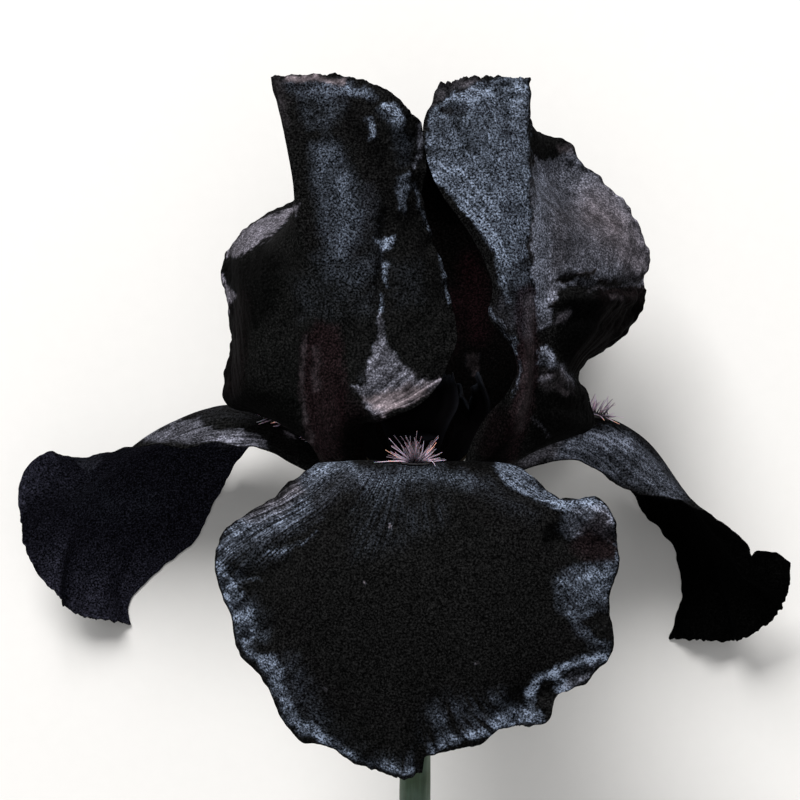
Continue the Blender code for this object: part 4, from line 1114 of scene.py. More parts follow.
def vein_places(u, v):
    """A place on the petal as (across its veins, along them), in mm of a middling petal. The veins fan
    out from the claw and end all round the margin."""
    closing = 1 - 0.93 * smoothstep(0.2, 1.08, u)
    return np.stack([VEINS_HALF_WIDTH * v * closing, BLADE_LENGTH * u, 0 * u], axis=1)


def margin_band(u, v, side_power, end_power):
    """How near a place on a sheet is to its sides or its end: 0 inside and 1 on them. The band is the
    narrower, the higher the powers are."""
    return 1 - (1 - np.abs(v) ** side_power) * (1 - u**end_power)


def fine_petal(petal, u, v, sizes):
    """The petal's surface with its ruffles and folds, crimped and nicked margin, and raised veins."""
    seed = 10 * petal.phase
    fan = np.arctan2(v, FAN_STRETCH * (u - FAN_FOOT))
    blade = smoothstep(0.25, 0.45, u)
    tooth = waver(fan * TEETH, seed, 0) + 0.7 * np.abs(waver(fan * FINE_TEETH, seed, 5))
    cut = EDGE_CUT * 0.5 + sizes.tooth_depth / (BLADE_HALF_WIDTH * MM) * tooth
    v = v * (1 - cut * np.abs(v) ** 6 * smoothstep(0.25, 0.4, u))
    u = u * (1 - 0.6 * cut * u**12)
    for at, width, depth in NOTCHES.get(petal.name, ()):
        sides = smoothstep(at, at + NOTCH_SIDE, v) * (1 - smoothstep(at, at + width, v))
        u = u - depth / BLADE_LENGTH * sides * u**20
    wave = np.sin(petal.waves * fan + petal.phase) + 0.5 * np.sin(1.7 * petal.waves * fan + 1)
    height = petal.ruffle * margin_band(u, v, 3, 9) * smoothstep(0.25, 0.5, u) * wave
    near = margin_band(np.clip(u, 0, 1), v, 7, 16)
    across_veins, along_veins, _ = vein_places(u, v).T
    bare = bare_surface(petal, u, v)
    x, y, z = (bare / (sizes.crimp_length / MM)).T
    crimp = waver(x + seed, y, z) + 0.5 * waver(2 * x, 2 * y + seed, 2 * z)
    height += sizes.crimp_height / MM * near * blade * crimp
    for inside, added, width, length, noise in PLEATS:
        pleat = waver(across_veins / width, along_veins / length, seed + noise)
        height += (inside + added * near) * blade * pleat
    ridge = waver(across_veins / RIDGE_WIDTH, along_veins / RIDGE_LENGTH, seed + RIDGE_NOISE)
    height += sizes.vein_height / MM * blade * (1 - 3 * np.abs(ridge))
    towards_eye = 1 if petal in STANDARDS else -1
    height += towards_eye * covers(FOLDS.get(petal.name, {}), in_picture(bare))
    points = bare + normals_of(petal, np.clip(u, 0, 1), np.clip(v, -1, 1)) * height[:, None]
    points[:, 2] = np.maximum(points[:, 2], sizes.thickness / MM / 2 - HEART[2])
    return points


# How much closer a sheet's columns lie near both margins
CROWDING = 0.25


def linked(name, data):
    """A new object in the scene."""
    obj = bpy.data.objects.new(name, data)
    bpy.context.scene.collection.objects.link(obj)
    return obj


def sheet(name, rows, columns, place):
    """An open grid of quads whose points lie where place(u, v) says, in mm from the heart. U runs
    from 0 to 1 along it and v from -1 to 1 across it."""
    grid = bmesh.new()
    bmesh.ops.create_grid(grid, x_segments=rows, y_segments=columns, size=1)
    mesh = bpy.data.meshes.new(name)
    grid.to_mesh(mesh)
    grid.free()
    flat = np.empty(len(mesh.vertices) * 3, np.float32)
    mesh.vertices.foreach_get("co", flat)
    flat = flat.reshape(-1, 3).astype(float)
    u, v = (flat[:, 0] + 1) / 2, flat[:, 1] * (1 + CROWDING - CROWDING * flat[:, 1] ** 2)
    points = place(u, v)
    mesh.vertices.foreach_set("co", to_row(points).astype(np.float32).ravel())
    mesh.update()
    mesh.shade_smooth()
    return linked(name, mesh), u, v, points


def keep_values(mesh, name, values):
    """Stores a number or a vector for each point of the mesh, for its material to read."""
    values = np.asarray(values, np.float32)
    kind, field = ("FLOAT", "value") if values.ndim == 1 else ("FLOAT_VECTOR", "vector")
    mesh.attributes.new(name, kind, "POINT").data.foreach_set(field, values.ravel())


def thicken(obj, thickness, rim_share=1.0, edge=None):
    """Gives a sheet its thickness, thinner where edge nears 1."""
    solid = obj.modifiers.new("thickness", "SOLIDIFY")
    solid.thickness = thickness
    solid.offset = 0
    if edge is None:
        return
    group = obj.vertex_groups.new(name="body")
    weights = rim_share + (1 - rim_share) * (1 - edge)
    for index, weight in enumerate(weights.tolist()):
        group.add([index], weight, "REPLACE")
    solid.vertex_group = "body"
    solid.thickness_vertex_group = 0.0


def settle(piece, node, body="root"):
    """Says what the piece stands for and rides on."""
    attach(piece, body)
    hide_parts(node)


# How far a pleat's turn to the light changes the painted light, and the least and most that it leaves of it
LIGHT_CATCH, LEAST_CATCH, MOST_CATCH = 1.2, 0.5, 1.45

# Where the dark line at a petal's margin starts and where it is full, as shares of the blade
RIM_START, RIM_FULL = 0.986, 0.994

# How far the painted light is combed where no mark says more, and the most that painted shade darkens the
# velvet
PLAIN_COMBING, MOST_SHADE = 0.35, 0.9


def catching_light(mesh, petal, u, v, points):
    """How much more painted light shows where pleats and crimps turn up to the light than on the bare
    petal.
    """
    normals = np.empty(len(u) * 3, np.float32)
    mesh.vertices.foreach_get("normal", normals)
    turned = []
    for normal in (normals.reshape(-1, 3), normals_of(petal, u, v)):
        to_eye = np.array([EYE_X, EYE_Y, EYE_HEIGHT]) - points
        turned.append(normal[:, 1] * np.sign((normal * to_eye).sum(axis=1)))
    return np.clip(1 + LIGHT_CATCH * (turned[0] - turned[1]), LEAST_CATCH, MOST_CATCH)


def make_petal(context, petal, piece_name, grid, inner, outer):
    """One petal with its marks of painted light and shade, inner tissue on its upper face and outer tissue
    under it.
    """
    sizes = context.scene.iris_petals
    obj, u, v, points = sheet(piece_name, *grid, lambda u, v: fine_petal(petal, u, v, sizes))
    seen = in_picture(points)
    lift = catching_light(obj.data, petal, u, v, points)
    # The marks' painted light and shade, brighter where folds turn up to the light and dimmed at the margin
    each = [(mark, cover(mark, seen)) for mark in PAINTED_LIGHT[petal.name].values()]
    total = sum((share for _, share in each), np.zeros(len(u)))
    lilac = sum((share * mark.blush for mark, share in each), np.zeros(len(u)))
    rimmed = 1 - petal.rim * smoothstep(RIM_START, RIM_FULL, np.maximum(np.abs(v), u))
    keep_values(obj.data, "bloom", (np.maximum(total, 0) * lift * rimmed) ** 2)
    keep_values(obj.data, "blush", np.clip(lilac / np.maximum(total, 0.05), 0, 1))
    for name, marks, plain, most in (
        ("flush", FLUSH, 0, 1), ("shade", SHADE, 0, MOST_SHADE), ("combing", COMBED, PLAIN_COMBING, 1),
    ):
        keep_values(obj.data, name, np.clip(plain + covers(marks.get(petal.name, {}), seen), 0, most))
    keep_values(obj.data, "veins", vein_places(u, v))
    thicken(obj, sizes.thickness, sizes.rim_thickness / sizes.thickness, margin_band(u, v, 8, 16))
    obj.data.materials.append(inner)
    obj.data.materials.append(outer)
    obj.modifiers["thickness"].material_offset = 1
    settle(obj, petal.name)


# Rows and columns of the petals' sheets
FRONT_GRID, SIDE_GRID = (300, 220), (200, 130)
STANDARD_GRID, BACK_GRID = (290, 210), (200, 120)


class IRIS_OT_falls(bpy.types.Operator):
    """Builds the three falls, the lower petals that carry the beards"""

    bl_idname = "iris.falls"
    bl_label = "Falls"

    def execute(self, context):
        colours, sizes = context.scene.iris_colours, context.scene.iris_petals
        # The left fall's underside is a lit copy of the falls' underside, with a painted lighter body
        front, side, under, lit_under = (
            petal_velvet(name, colours, sizes, body, colours.plum, share, comb)
            for name, body, share, comb in (
                ("fall_velvet", colours.velvet, 1.0, 1.0),
                ("side_fall_velvet", colours.velvet, 1.0, 0.4),
                ("fall_underside", colours.underside, 0.08, 0.3),
                ("left_fall_underside", colours.lit_underside, 0.1, 0.3),
            )
        )
        make_petal(context, FALL_FRONT, "front_fall", FRONT_GRID, front, under)
        make_petal(context, FALL_LEFT, "left_fall", SIDE_GRID, side, lit_under)
        make_petal(context, FALL_RIGHT, "right_fall", SIDE_GRID, side, under)
        return {"FINISHED"}


class IRIS_OT_standards(bpy.types.Operator):
    """Builds the three standards, the upright petals"""

    bl_idname = "iris.standards"
    bl_label = "Standards"

    def execute(self, context):
        colours, sizes = context.scene.iris_colours, context.scene.iris_petals
        outer = petal_velvet("standard_velvet", colours, sizes, colours.velvet, colours.plum, 1.0, 0.4)
        inner = petal_velvet("standard_inside", colours, sizes, colours.inside, colours.maroon, 0.4, 0.8)
        make_petal(context, STANDARD_LEFT, "left_standard", STANDARD_GRID, inner, outer)
        make_petal(context, STANDARD_RIGHT, "right_standard", STANDARD_GRID, inner, outer)
        make_petal(context, STANDARD_BACK, "back_standard", BACK_GRID, inner, outer)
        return {"FINISHED"}


# A way that no tube or hair takes, from which its sides are found
SLANT = (0.3, 0.5, 0.8)


def tube_faces(first, rings, sides):
    """The faces of a closed tube whose vertices start at first and go on ring by ring."""
    last = first + (rings - 1) * sides
    faces = [
        (ring + k, ring + (k + 1) % sides, ring + sides + (k + 1) % sides, ring + sides + k)
        for ring in range(first, last, sides)
        for k in range(sides)
    ]
    return faces + [tuple(range(first, first + sides))[::-1], tuple(range(last, last + sides))]


def tube_rings(points, radii, sides):
    """A closed tube through points: its vertices ring by ring, and its faces."""
    points = np.asarray(points, float)
    ways = unit(np.gradient(points, axis=0))
    side = np.cross(ways[0], SLANT)
    vertices = []
    for point, way, radius in zip(points, ways, radii):
        side = side - way * (side @ way)
        side /= np.linalg.norm(side)
        other = np.cross(way, side)
        for turn in np.arange(sides) * math.tau / sides:
            vertices.append(point + radius * (math.cos(turn) * side + math.sin(turn) * other))
    return vertices, tube_faces(0, len(points), sides)


def solid_object(name, vertices, faces):
    mesh = bpy.data.meshes.new(name)
    mesh.from_pydata(to_row(vertices).tolist(), [], faces)
    mesh.update()
    mesh.shade_smooth()
    return linked(name, mesh)


def join(pieces):
    """Joins pieces into the first one, their modifiers applied."""
    graph = bpy.context.evaluated_depsgraph_get()
    for piece in pieces:
        mesh = bpy.data.meshes.new_from_object(piece.evaluated_get(graph))
        piece.modifiers.clear()
        piece.data = mesh
    with bpy.context.temp_override(active_object=pieces[0], selected_editable_objects=pieces):
        bpy.ops.object.join()
    return pieces[0]


# The rows of each fall's solid between which its beard grows
BEARD_ROWS = {"fall_front": (4, 8), "fall_left": (5, 9), "fall_right": (6, 11)}

# The pad that carries the hairs: its top over the gap to the petal, how far its edge lies under that and
# its middle over its edge, and its thickness, in mm, then its tone and its grid
PAD_TOP, PAD_EDGE, PAD_DOME, PAD_THICKNESS = 0.5, 0.8, 0.5, 0.4
PAD_TONE, PAD_GRID = 0.12, (40, 12)

# A hair: how deep it is rooted in mm, its rings and sides and how much thinner its tip is, then how far
# it leans out at the beard's side in radians, leans and curls ahead, and strays
HAIR_ROOT, HAIR_RINGS, HAIR_SIDES, HAIR_TAPER = 0.5, 7, 4, 0.6
SIDE_LEAN, LEAN_AHEAD, CURL_AHEAD, STRAY = 1.58, 0.4, 0.12, 0.16

# The hairs fill this share of their strip, and vary between these in length, thickness and tone
STRIP_SHARE = 0.5
LENGTHS, THICKNESSES, TONES = (0.65, 1.08), (0.75, 1.15), (0.25, 1.1)

# The side falls' hairs against the front fall's
SIDE_LENGTH, SIDE_THICKNESS, SIDE_TONE = 0.72, 1.5, 2.2

# The clumps of hairs with rusty tips: their places across the beard, half width and tone, and how many
# of their hairs are rusty
CLUMPS, CLUMP_HALF_WIDTH, CLUMP_TONE, RUSTY = (-0.86, 0.68), 0.06, 1.2, 0.8


def beard_ground(petal, u, v, lift):
    """A place on the strip that a beard grows from, raised this far over the petal's upper face."""
    first, last = BEARD_ROWS[petal.name]
    on_u = (first + u * (last - first)) / SOLID_ROWS
    on_v = v * 2 / SOLID_COLUMNS
    return bare_surface(petal, on_u, on_v) - normals_of(petal, on_u, on_v) * lift


def make_beard(context, petal, piece_name, hair_look, rng):
    """A beard: a domed pad on the fall's haft, with its hairs."""
    sizes = context.scene.iris_beards
    pad_top = SOLID_THICKNESS / 2 + CLEARANCE + PAD_TOP

    def pad(u, v):
        dome = (1 - v**2) * np.sin(np.pi * np.clip(u, 0.02, 0.98))
        lift = pad_top - PAD_EDGE + PAD_DOME * np.clip(dome, 0, 1)
        return beard_ground(petal, u, v, lift[:, None])

    ground, u, _, _ = sheet(piece_name, *PAD_GRID, pad)
    thicken(ground, PAD_THICKNESS * MM)
    for name, value in (("along", 0), ("rust", 0), ("tone", PAD_TONE)):
        keep_values(ground.data, name, np.full(len(u), value))
    hairs = hair_coat(piece_name + "_hairs", petal, pad_top, sizes, rng)
    beard = join([ground, hairs])
    beard.data.materials.clear()
    beard.data.materials.append(hair_look)
    settle(beard, petal.name.replace("fall", "beard"))


def hair_coat(name, petal, pad_top, sizes, rng):
    """All the hairs of a beard as one mesh: each leans out from the beard's middle line and curls."""
    count, front = sizes.hairs, petal is FALL_FRONT
    at_u = (np.arange(count) + rng.uniform(0, 1, count)) / count
    spread = rng.uniform(-1, 1, count)
    at_v = STRIP_SHARE * spread
    root, top = (beard_ground(petal, at_u, at_v, lift) for lift in (pad_top - HAIR_ROOT, pad_top))
    ahead = unit(beard_ground(petal, at_u * 0.96 + 0.04, at_v, pad_top) - top)
    aside = unit(beard_ground(petal, at_u, at_v * 0.9 + 0.1, pad_top) - top)
    up = unit(beard_ground(petal, at_u, at_v * 0, 1.0) - beard_ground(petal, at_u, at_v * 0, 0.0))
    tilt = (SIDE_LEAN * spread)[:, None]
    lean = np.cos(tilt) * up + np.sin(tilt) * aside + LEAN_AHEAD * at_u[:, None] * ahead
    lean = unit(lean + rng.normal(0, STRAY, (count, 3)))
    curl = rng.normal(0, STRAY, (count, 3)) + CURL_AHEAD * ahead
    length = (sizes.shortest + (sizes.longest - sizes.shortest) * at_u**0.7) / MM
    reach = (1 - 0.1 * spread**2) if front else SIDE_LENGTH
    length = (length * rng.uniform(*LENGTHS, count) * reach)[:, None, None]
    bend = np.linspace(0, 1, HAIR_RINGS)[:, None]
    line = root[:, None] + length * (bend * lean[:, None] + bend**2 * curl[:, None])
    way = unit(np.gradient(line, axis=1))
    side = unit(np.cross(way, SLANT))
    other = np.cross(way, side)
    taper = 1 - HAIR_TAPER * bend[:, 0] ** 2
    radius = sizes.thickness / MM / 2 * taper * rng.uniform(*THICKNESSES, (count, 1))
    radius = radius * (1.0 if front else SIDE_THICKNESS)
    turns = np.arange(HAIR_SIDES) * math.tau / HAIR_SIDES
    ring = np.cos(turns)[:, None] * side[:, :, None] + np.sin(turns)[:, None] * other[:, :, None]
    vertices = (line[:, :, None] + radius[:, :, None, None] * ring).reshape(-1, 3)
    each = HAIR_RINGS * HAIR_SIDES
    starts = range(0, count * each, each)
    faces = [face for first in starts for face in tube_faces(first, HAIR_RINGS, HAIR_SIDES)]
    obj = solid_object(name, vertices, faces)
    keep_values(obj.data, "along", np.tile(np.repeat(bend[:, 0], HAIR_SIDES), count))
    clumped = np.any([np.abs(spread - middle) < CLUMP_HALF_WIDTH for middle in CLUMPS], axis=0)
    keep_values(obj.data, "rust", np.repeat(clumped & (rng.random(count) < RUSTY), each))
    tone = rng.uniform(*TONES, count) * (0.35 + 0.65 * at_u) * (0.7 + 0.9 * np.abs(spread) ** 3)
    tone = np.where(clumped, CLUMP_TONE, tone) * (1.0 if front else SIDE_TONE)
    keep_values(obj.data, "tone", np.repeat(tone, each))
    return obj


class IRIS_OT_beards(bpy.types.Operator):
    """Grows the three beards of hairs along the falls' hafts"""

    bl_idname = "iris.beards"
    bl_label = "Beards"

    def execute(self, context):
        rng = np.random.default_rng(context.scene.iris_beards.seed)
        look = beard_hair(context.scene.iris_colours)
        for petal, piece_name in zip(FALLS, ("front_beard", "left_beard", "right_beard")):
            make_beard(context, petal, piece_name, look, rng)
        return {"FINISHED"}


# Angle round the stem from the front, towards the flower's right
FALL_ANGLES = {"front": 0, "left": -120, "right": 120}

# Distance from the axis and y of a style arm's middle line, which ends in its upright crest
ARM_LINE = [(0.7, -5.5), (2.6, 0), (6.4, 6), (11, 10.4), (13.8, 13), (13.6, 17.5), (12.2, 23)]
ARM_HALF_WIDTHS = [1.2, 2.2, 3.6, 5.0, 6.4, 8.6, 7.4]
ARM_ARCH = [0.3, 0.8, 1.4, 1.6, 0.9, 1.4, 1.8]
ARM_THICKNESS, ARM_GRID, CREST_NOTCH = 0.5, (70, 36), 7.0
COLUMN_RADIUS, COLUMN_TOP_Y, COLUMN_SIDES = 1.9, -2.5, 24
LIP_HALF_WIDTH, LIP_DISTANCE, LIP_Y = 4.6, 13.2, 11.6
LIP_THICKNESS, LIP_GRID = 0.3, (10, 16)

# Distance from the axis, y and radius along a stamen's filament, then along its anther
FILAMENT = [(3.6, CLAW_Y, 0.55), (4.2, -5.5, 0.5), (5.6, -1.5, 0.5), (7.4, 2.2, 0.45), (9.0, 4.9, 0.3)]
ANTHER = [(8.6, 4.6, 0.2), (9.3, 5.2, 0.55), (11.6, 7.0, 0.6), (13.8, 8.4, 0.5), (14.5, 8.8, 0.2)]
STAMEN_RINGS, FILAMENT_SIDES, ANTHER_SIDES, SAC_ASIDE = 26, 10, 12, 0.45


def outward(angle, distance, y, sideways=0.0):
    """A point this far from the axis, at an angle round it and moved sideways along its ring."""
    turn = np.radians(angle)
    x = distance * np.sin(turn) + sideways * np.cos(turn)
    z = distance * np.cos(turn) - sideways * np.sin(turn)
    return np.stack(np.broadcast_arrays(x, y, z), axis=-1)


def arm_surface(angle, u, v):
    """A style arm: it arches out over its haft, then stands up as a frilled crest with two lobes."""
    line = even_through(ARM_LINE, u)
    half_width = even_through(np.array(ARM_HALF_WIDTHS)[:, None], u)[:, 0]
    arch = even_through(np.array(ARM_ARCH)[:, None], u)[:, 0]
    upright = smoothstep(0.5, 0.75, u)
    fringe = 0.5 * np.sin(23 * v + angle) + 0.35 * np.sin(41 * v)
    frill = 0.5 * smoothstep(0.6, 1, u) * (np.sin(11 * v + 0.02 * angle) + 0.6 * np.sin(19 * v + 1))
    keel = 0.35 * np.exp(-((v / 0.12) ** 2)) * (1 - upright)
    droop = arch * v * v
    notch = CREST_NOTCH * u**8 * (1 - np.abs(v)) ** 2
    distance = line[:, 0] - droop * upright + frill
    y = line[:, 1] - droop * (1 - upright) - notch + keel - fringe * u**10
    return outward(angle, distance, y, v * half_width)


def stigma_surface(angle, u, v):
    """The stigma: a small lip under the foot of a crest, that catches pollen."""
    half_width = LIP_HALF_WIDTH * np.sqrt(np.clip(1 - (0.9 * u) ** 2, 0, 1))
    distance = LIP_DISTANCE + 1.9 * u - 0.5 * v * v
    return outward(angle, distance, LIP_Y - 0.9 * u * u - 0.8 * v * v, v * half_width)


class IRIS_OT_style(bpy.types.Operator):
    """Builds the style: a column with three arms, their crests and stigmas"""

    bl_idname = "iris.style"
    bl_label = "Style"

    def execute(self, context):
        look = style_tissue(context.scene.iris_colours)
        column = [(0, y, 0) for y in (CLAW_Y, -6, COLUMN_TOP_Y)]
        ring, shell = tube_rings(column, [COLUMN_RADIUS] * len(column), COLUMN_SIDES)
        parts = [solid_object("style_arms", ring, shell)]
        keep_values(parts[0].data, "bloom", np.zeros(len(ring)))
        for side, angle in FALL_ANGLES.items():
            arm, u, v, _ = sheet("arm_" + side, *ARM_GRID, lambda u, v: arm_surface(angle, u, v))
            # Painted highlight: the bloom colour on the crest's tip and the arm's margins, and faintly on
            # the lip
            keep_values(arm.data, "bloom", 0.07 * smoothstep(0.93, 1, u) + 0.02 * np.abs(v) ** 8)
            thicken(arm, ARM_THICKNESS * MM)
            lip, u, _, _ = sheet("lip_" + side, *LIP_GRID, lambda u, v: stigma_surface(angle, u, v))
            keep_values(lip.data, "bloom", 0.02 * u)
            thicken(lip, LIP_THICKNESS * MM)
            parts += [arm, lip]
        style = join(parts)
        style.data.materials.clear()
        style.data.materials.append(look)
        settle(style, "style")
        return {"FINISHED"}


class IRIS_OT_stamens(bpy.types.Operator):
    """Builds the three stamens under the style arms"""

    bl_idname = "iris.stamens"
    bl_label = "Stamens"

    def execute(self, context):
        colours = context.scene.iris_colours
        pollen = pollen_grain(colours)
        filament_look, _, _ = new_material(
            "filament", Base_Color=rgba(colours.filament), Roughness=0.5, Specular_IOR_Level=0.4
        )
        at = np.linspace(0, 1, STAMEN_RINGS)
        for side, angle in FALL_ANGLES.items():
            distance, y, radius = even_through(FILAMENT, at).T
            ring, shell = tube_rings(outward(angle, distance, y), radius, FILAMENT_SIDES)
            filament = solid_object(side + "_stamen", ring, shell)
            filament.data.materials.append(filament_look)
            stamen = [filament]
            distance, y, radius = even_through(ANTHER, at).T
            swell = np.maximum(radius * (1 + 0.12 * np.sin(40 * at)), 0.1)
            for aside in (-SAC_ASIDE, SAC_ASIDE):
                ring, shell = tube_rings(outward(angle, distance, y, aside), swell, ANTHER_SIDES)
                sac = solid_object("sac", ring, shell)
                sac.data.materials.append(pollen)
                stamen.append(sac)
            settle(join(stamen), "stamen_" + side)
        return {"FINISHED"}


# Radius and y of the tube's and ovary's outer side, from the throat's rim to the foot
TUBE_PROFILE = [
    (0.0, THROAT_Y), (6.6, THROAT_Y), (6.3, -10.4), (4.8, -14.0), (3.4, -18.5), (3.0, -23.0),
    (3.9, -27.0), (4.5, -32.0), (4.4, -38.0), (3.5, -43.0), (2.7, -45.5), (2.6, OVARY_FOOT_Y),
    (0.0, OVARY_FOOT_Y),
]
OVARY_GRID = (120, 96)
STEM_RADIUS, STEM_DROOP, STEM_RIBS = 3.2, 7.0, 10
STEM_TOP_Y, STEM_FOOT_Y = OVARY_FOOT_Y - CLEARANCE, -92.0
STEM_RINGS, STEM_SIDES = 90, 40


def tube_surface(u, v):
    """The perianth tube and ovary, three-lobed, with a furrow down the middle of each lobe."""
    profile = smooth_through(TUBE_PROFILE, u)
    turn = 180 * v
    ovary = smoothstep(-24, -32, profile[:, 1]) * smoothstep(-48, -42, profile[:, 1])
    lobes = 0.09 * np.cos(np.radians(3 * turn)) - 0.05 * np.cos(np.radians(6 * turn))
    ribs = 0.02 * np.cos(np.radians(18 * turn))
    radius = np.maximum(profile[:, 0], 0) * (1 + ovary * (lobes - 0.04) + ribs * (1 - ovary))
    return outward(turn, radius, profile[:, 1])


class IRIS_OT_tube_and_ovary(bpy.types.Operator):
    """Builds the tube that carries the petals and the ribbed ovary below it"""

    bl_idname = "iris.tube_and_ovary"
    bl_label = "Tube and ovary"

    def execute(self, context):
        obj, *_ = sheet("ribbed_ovary", *OVARY_GRID, tube_surface)
        weld(obj)
        obj.data.materials.append(waxy_green(context.scene.iris_colours))
        settle(obj, "tube_and_ovary")
        return {"FINISHED"}


def weld(obj):
    """Closes the seam where a sheet meets itself."""
    shape = bmesh.new()
    shape.from_mesh(obj.data)
    bmesh.ops.remove_doubles(shape, verts=shape.verts, dist=0.01 * MM)
    bmesh.ops.recalc_face_normals(shape, faces=shape.faces)
    shape.to_mesh(obj.data)
    shape.free()
    obj.data.shade_smooth()


# A spathe's radius and half its angle round the stem, from its foot to its tip, and its middle's angle
SPATHE_FOOT_Y, SPATHE_LENGTH = -50.5, 35.0
SPATHE_THICKNESS, SPATHE_RIM, SPATHE_GRID = 0.6, 0.3, (100, 60)
SPATHE_RADII = [STEM_RADIUS + CLEARANCE + 0.5, 5.2, 6.2, 6.7, 6.8, 7.4]
SPATHE_HALF_ANGLES = [78, 82, 72, 56, 36, 5]
SPATHE_MIDDLES = {"left": -100, "right": 80}


def spathe_surface(middle, u, v):
    """A valve that wraps the ovary, about an angle round it, and narrows to a tip."""
    radius = even_through(np.array(SPATHE_RADII)[:, None], u)[:, 0]
    half = even_through(np.array(SPATHE_HALF_ANGLES, float)[:, None], u)[:, 0]
    ribs = 0.05 * np.sin(16 * np.pi * v) * smoothstep(0, 0.1, u)
    curl = 0.35 * np.abs(v) ** 6 * np.sin(19 * u + middle) * smoothstep(0.2, 0.6, u)
    return outward(middle + v * half, radius + ribs + curl, SPATHE_FOOT_Y + u * SPATHE_LENGTH)


class IRIS_OT_spathes(bpy.types.Operator):
    """Builds the two papery valves round the ovary"""

    bl_idname = "iris.spathes"
    bl_label = "Spathes"

    def execute(self, context):
        look = spathe_paper(context.scene.iris_colours)
        for side, middle in SPATHE_MIDDLES.items():
            obj, u, v, _ = sheet(
                side + "_spathe", *SPATHE_GRID, lambda u, v: spathe_surface(middle, u, v)
            )
            keep_values(obj.data, "bloom", smoothstep(0.3, 1.1, u + 0.6 * np.abs(v) ** 4))
            thicken(obj, SPATHE_THICKNESS * MM, SPATHE_RIM, margin_band(u, v, 6, 8))
            obj.data.materials.append(look)
            settle(obj, "spathe_" + side)
        return {"FINISHED"}


class IRIS_OT_stem(bpy.types.Operator):
    """Builds the cut stem"""

    bl_idname = "iris.stem"
    bl_label = "Stem"

    def execute(self, context):
        along = np.linspace(0, 1, STEM_RINGS)
        y = STEM_TOP_Y + (STEM_FOOT_Y - STEM_TOP_Y) * along
        points = np.stack([0 * along, y, -STEM_DROOP * along**2], axis=1)
        vertices, faces = tube_rings(points, [STEM_RADIUS - 0.05] * STEM_RINGS, STEM_SIDES)
        vertices = np.array(vertices)
        middles = np.repeat(points, STEM_SIDES, axis=0)
        turns = np.tile(np.arange(STEM_SIDES) * math.tau / STEM_SIDES, STEM_RINGS)
        ridge = 0.02 * np.cos(turns * STEM_RIBS)
        swell = 0.05 * waver(vertices[:, 0] / 4, vertices[:, 1] / 6, vertices[:, 2] / 4)
        vertices = middles + (vertices - middles) * (1 + (ridge + swell) / 2)[:, None]
        obj = solid_object("cut_stem", vertices, faces)
        colours = context.scene.iris_colours
        obj.data.materials.append(waxy_green(colours))
        obj.data.materials.append(cut_pith(colours))
        for end in obj.data.polygons[-2:]:
            end.material_index = 1
            end.use_smooth = False
        settle(obj, "stem")
        return {"FINISHED"}


# The camera's sensor and what it sees across at the heart, and where the key light stands, in mm. The
# floor's and the lights' sizes and the fill's height are in metres.
SENSOR_WIDTH = 36.0
VIEW_WIDTH = 160.0
KEY_FROM = (-780.0, 2200.0, 1900.0)
KEY_SIZE, FILL_SIZE, FILL_HEIGHT, FLOOR_SIZE = 1.5, 1.6, 1.6, 6.0
SKY_COLOUR = (0.97, 0.98, 1.0)


def aim(obj, target):
    obj.rotation_euler = (Vector(target) - obj.location).to_track_quat("-Z", "Y").to_euler()


def area_light(name, location, size, power, target):
    lamp = bpy.data.lights.new(name, "AREA")
    lamp.size = size
    lamp.energy = power
    obj = linked(name, lamp)
    obj.location = location
    aim(obj, target)


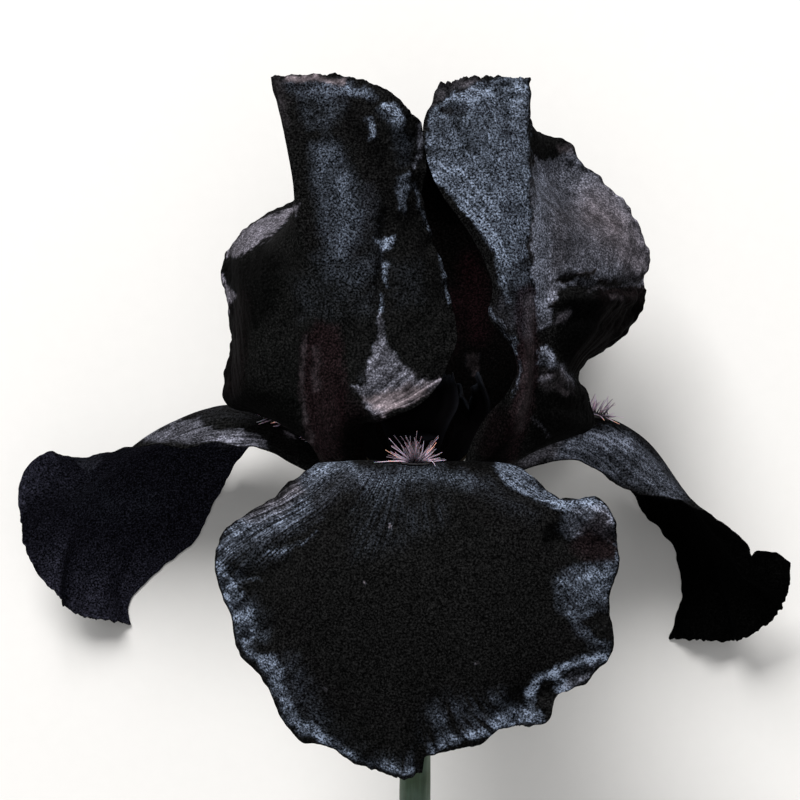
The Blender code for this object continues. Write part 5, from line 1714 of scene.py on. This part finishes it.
class IRIS_OT_stage(bpy.types.Operator):
    """Sets the pale floor, the soft studio light and the camera over the flower"""

    bl_idname = "iris.stage"
    bl_label = "Stage"

    def execute(self, context):
        scene, stage = context.scene, context.scene.iris_stage
        bpy.ops.mesh.primitive_plane_add(size=FLOOR_SIZE)
        floor = context.object
        floor.name = "floor"
        floor.data.materials.append(pale_floor(scene.iris_colours))
        heart = to_row((0, 0, 0))
        area_light("key", to_row(KEY_FROM), KEY_SIZE, stage.key, heart)
        area_light("fill", (0, 0, FILL_HEIGHT), FILL_SIZE, stage.fill, (0, 0, 0))
        world = scene.world or bpy.data.worlds.new("studio")
        scene.world = world
        world.use_nodes = True
        sky = world.node_tree.nodes["Background"]
        sky.inputs["Color"].default_value = rgba(SKY_COLOUR)
        sky.inputs["Strength"].default_value = stage.sky
        scene.view_settings.view_transform = "Standard"
        lens = bpy.data.cameras.new("camera")
        lens.sensor_width = SENSOR_WIDTH
        lens.lens = SENSOR_WIDTH * EYE_HEIGHT / VIEW_WIDTH
        lens.clip_start, lens.clip_end = 0.05, 20
        camera = linked("camera", lens)
        camera.location = to_row((EYE_X, EYE_Y, EYE_HEIGHT))
        scene.camera = camera
        return {"FINISHED"}


class IRIS_PT_flower(bpy.types.Panel):
    """Lists the flower's pieces and settings"""

    bl_label = "Bearded Iris"
    bl_idname = "IRIS_PT_flower"
    bl_space_type = "VIEW_3D"
    bl_region_type = "UI"
    bl_category = "Iris"

    def draw(self, context):
        for group in GROUPS:
            box = self.layout.box()
            box.label(text=group.__doc__)
            settings = getattr(context.scene, GROUPS[group])
            for name in group.__annotations__:
                box.prop(settings, name)
        for step in STEPS:
            self.layout.operator(step.bl_idname)


GROUPS = {
    IrisPetalSizes: "iris_petals", IrisBeardSizes: "iris_beards", IrisColours: "iris_colours",
    IrisStage: "iris_stage",
}
STEPS = (
    IRIS_OT_stage, IRIS_OT_falls, IRIS_OT_standards, IRIS_OT_beards, IRIS_OT_style, IRIS_OT_stamens,
    IRIS_OT_tube_and_ovary, IRIS_OT_spathes, IRIS_OT_stem,
)


def register():
    for group, place in GROUPS.items():
        bpy.utils.register_class(group)
        setattr(bpy.types.Scene, place, PointerProperty(type=group))
    for step in (*STEPS, IRIS_PT_flower):
        bpy.utils.register_class(step)


def unregister():
    for step in reversed((*STEPS, IRIS_PT_flower)):
        bpy.utils.unregister_class(step)
    for group, place in reversed(GROUPS.items()):
        delattr(bpy.types.Scene, place)
        bpy.utils.unregister_class(group)


def main():
    register()
    bpy.ops.iris.stage()
    bpy.ops.iris.falls()
    bpy.ops.iris.standards()
    bpy.ops.iris.beards()
    bpy.ops.iris.style()
    bpy.ops.iris.stamens()
    bpy.ops.iris.tube_and_ovary()
    bpy.ops.iris.spathes()
    bpy.ops.iris.stem()


if __name__ == "__main__":
    main()
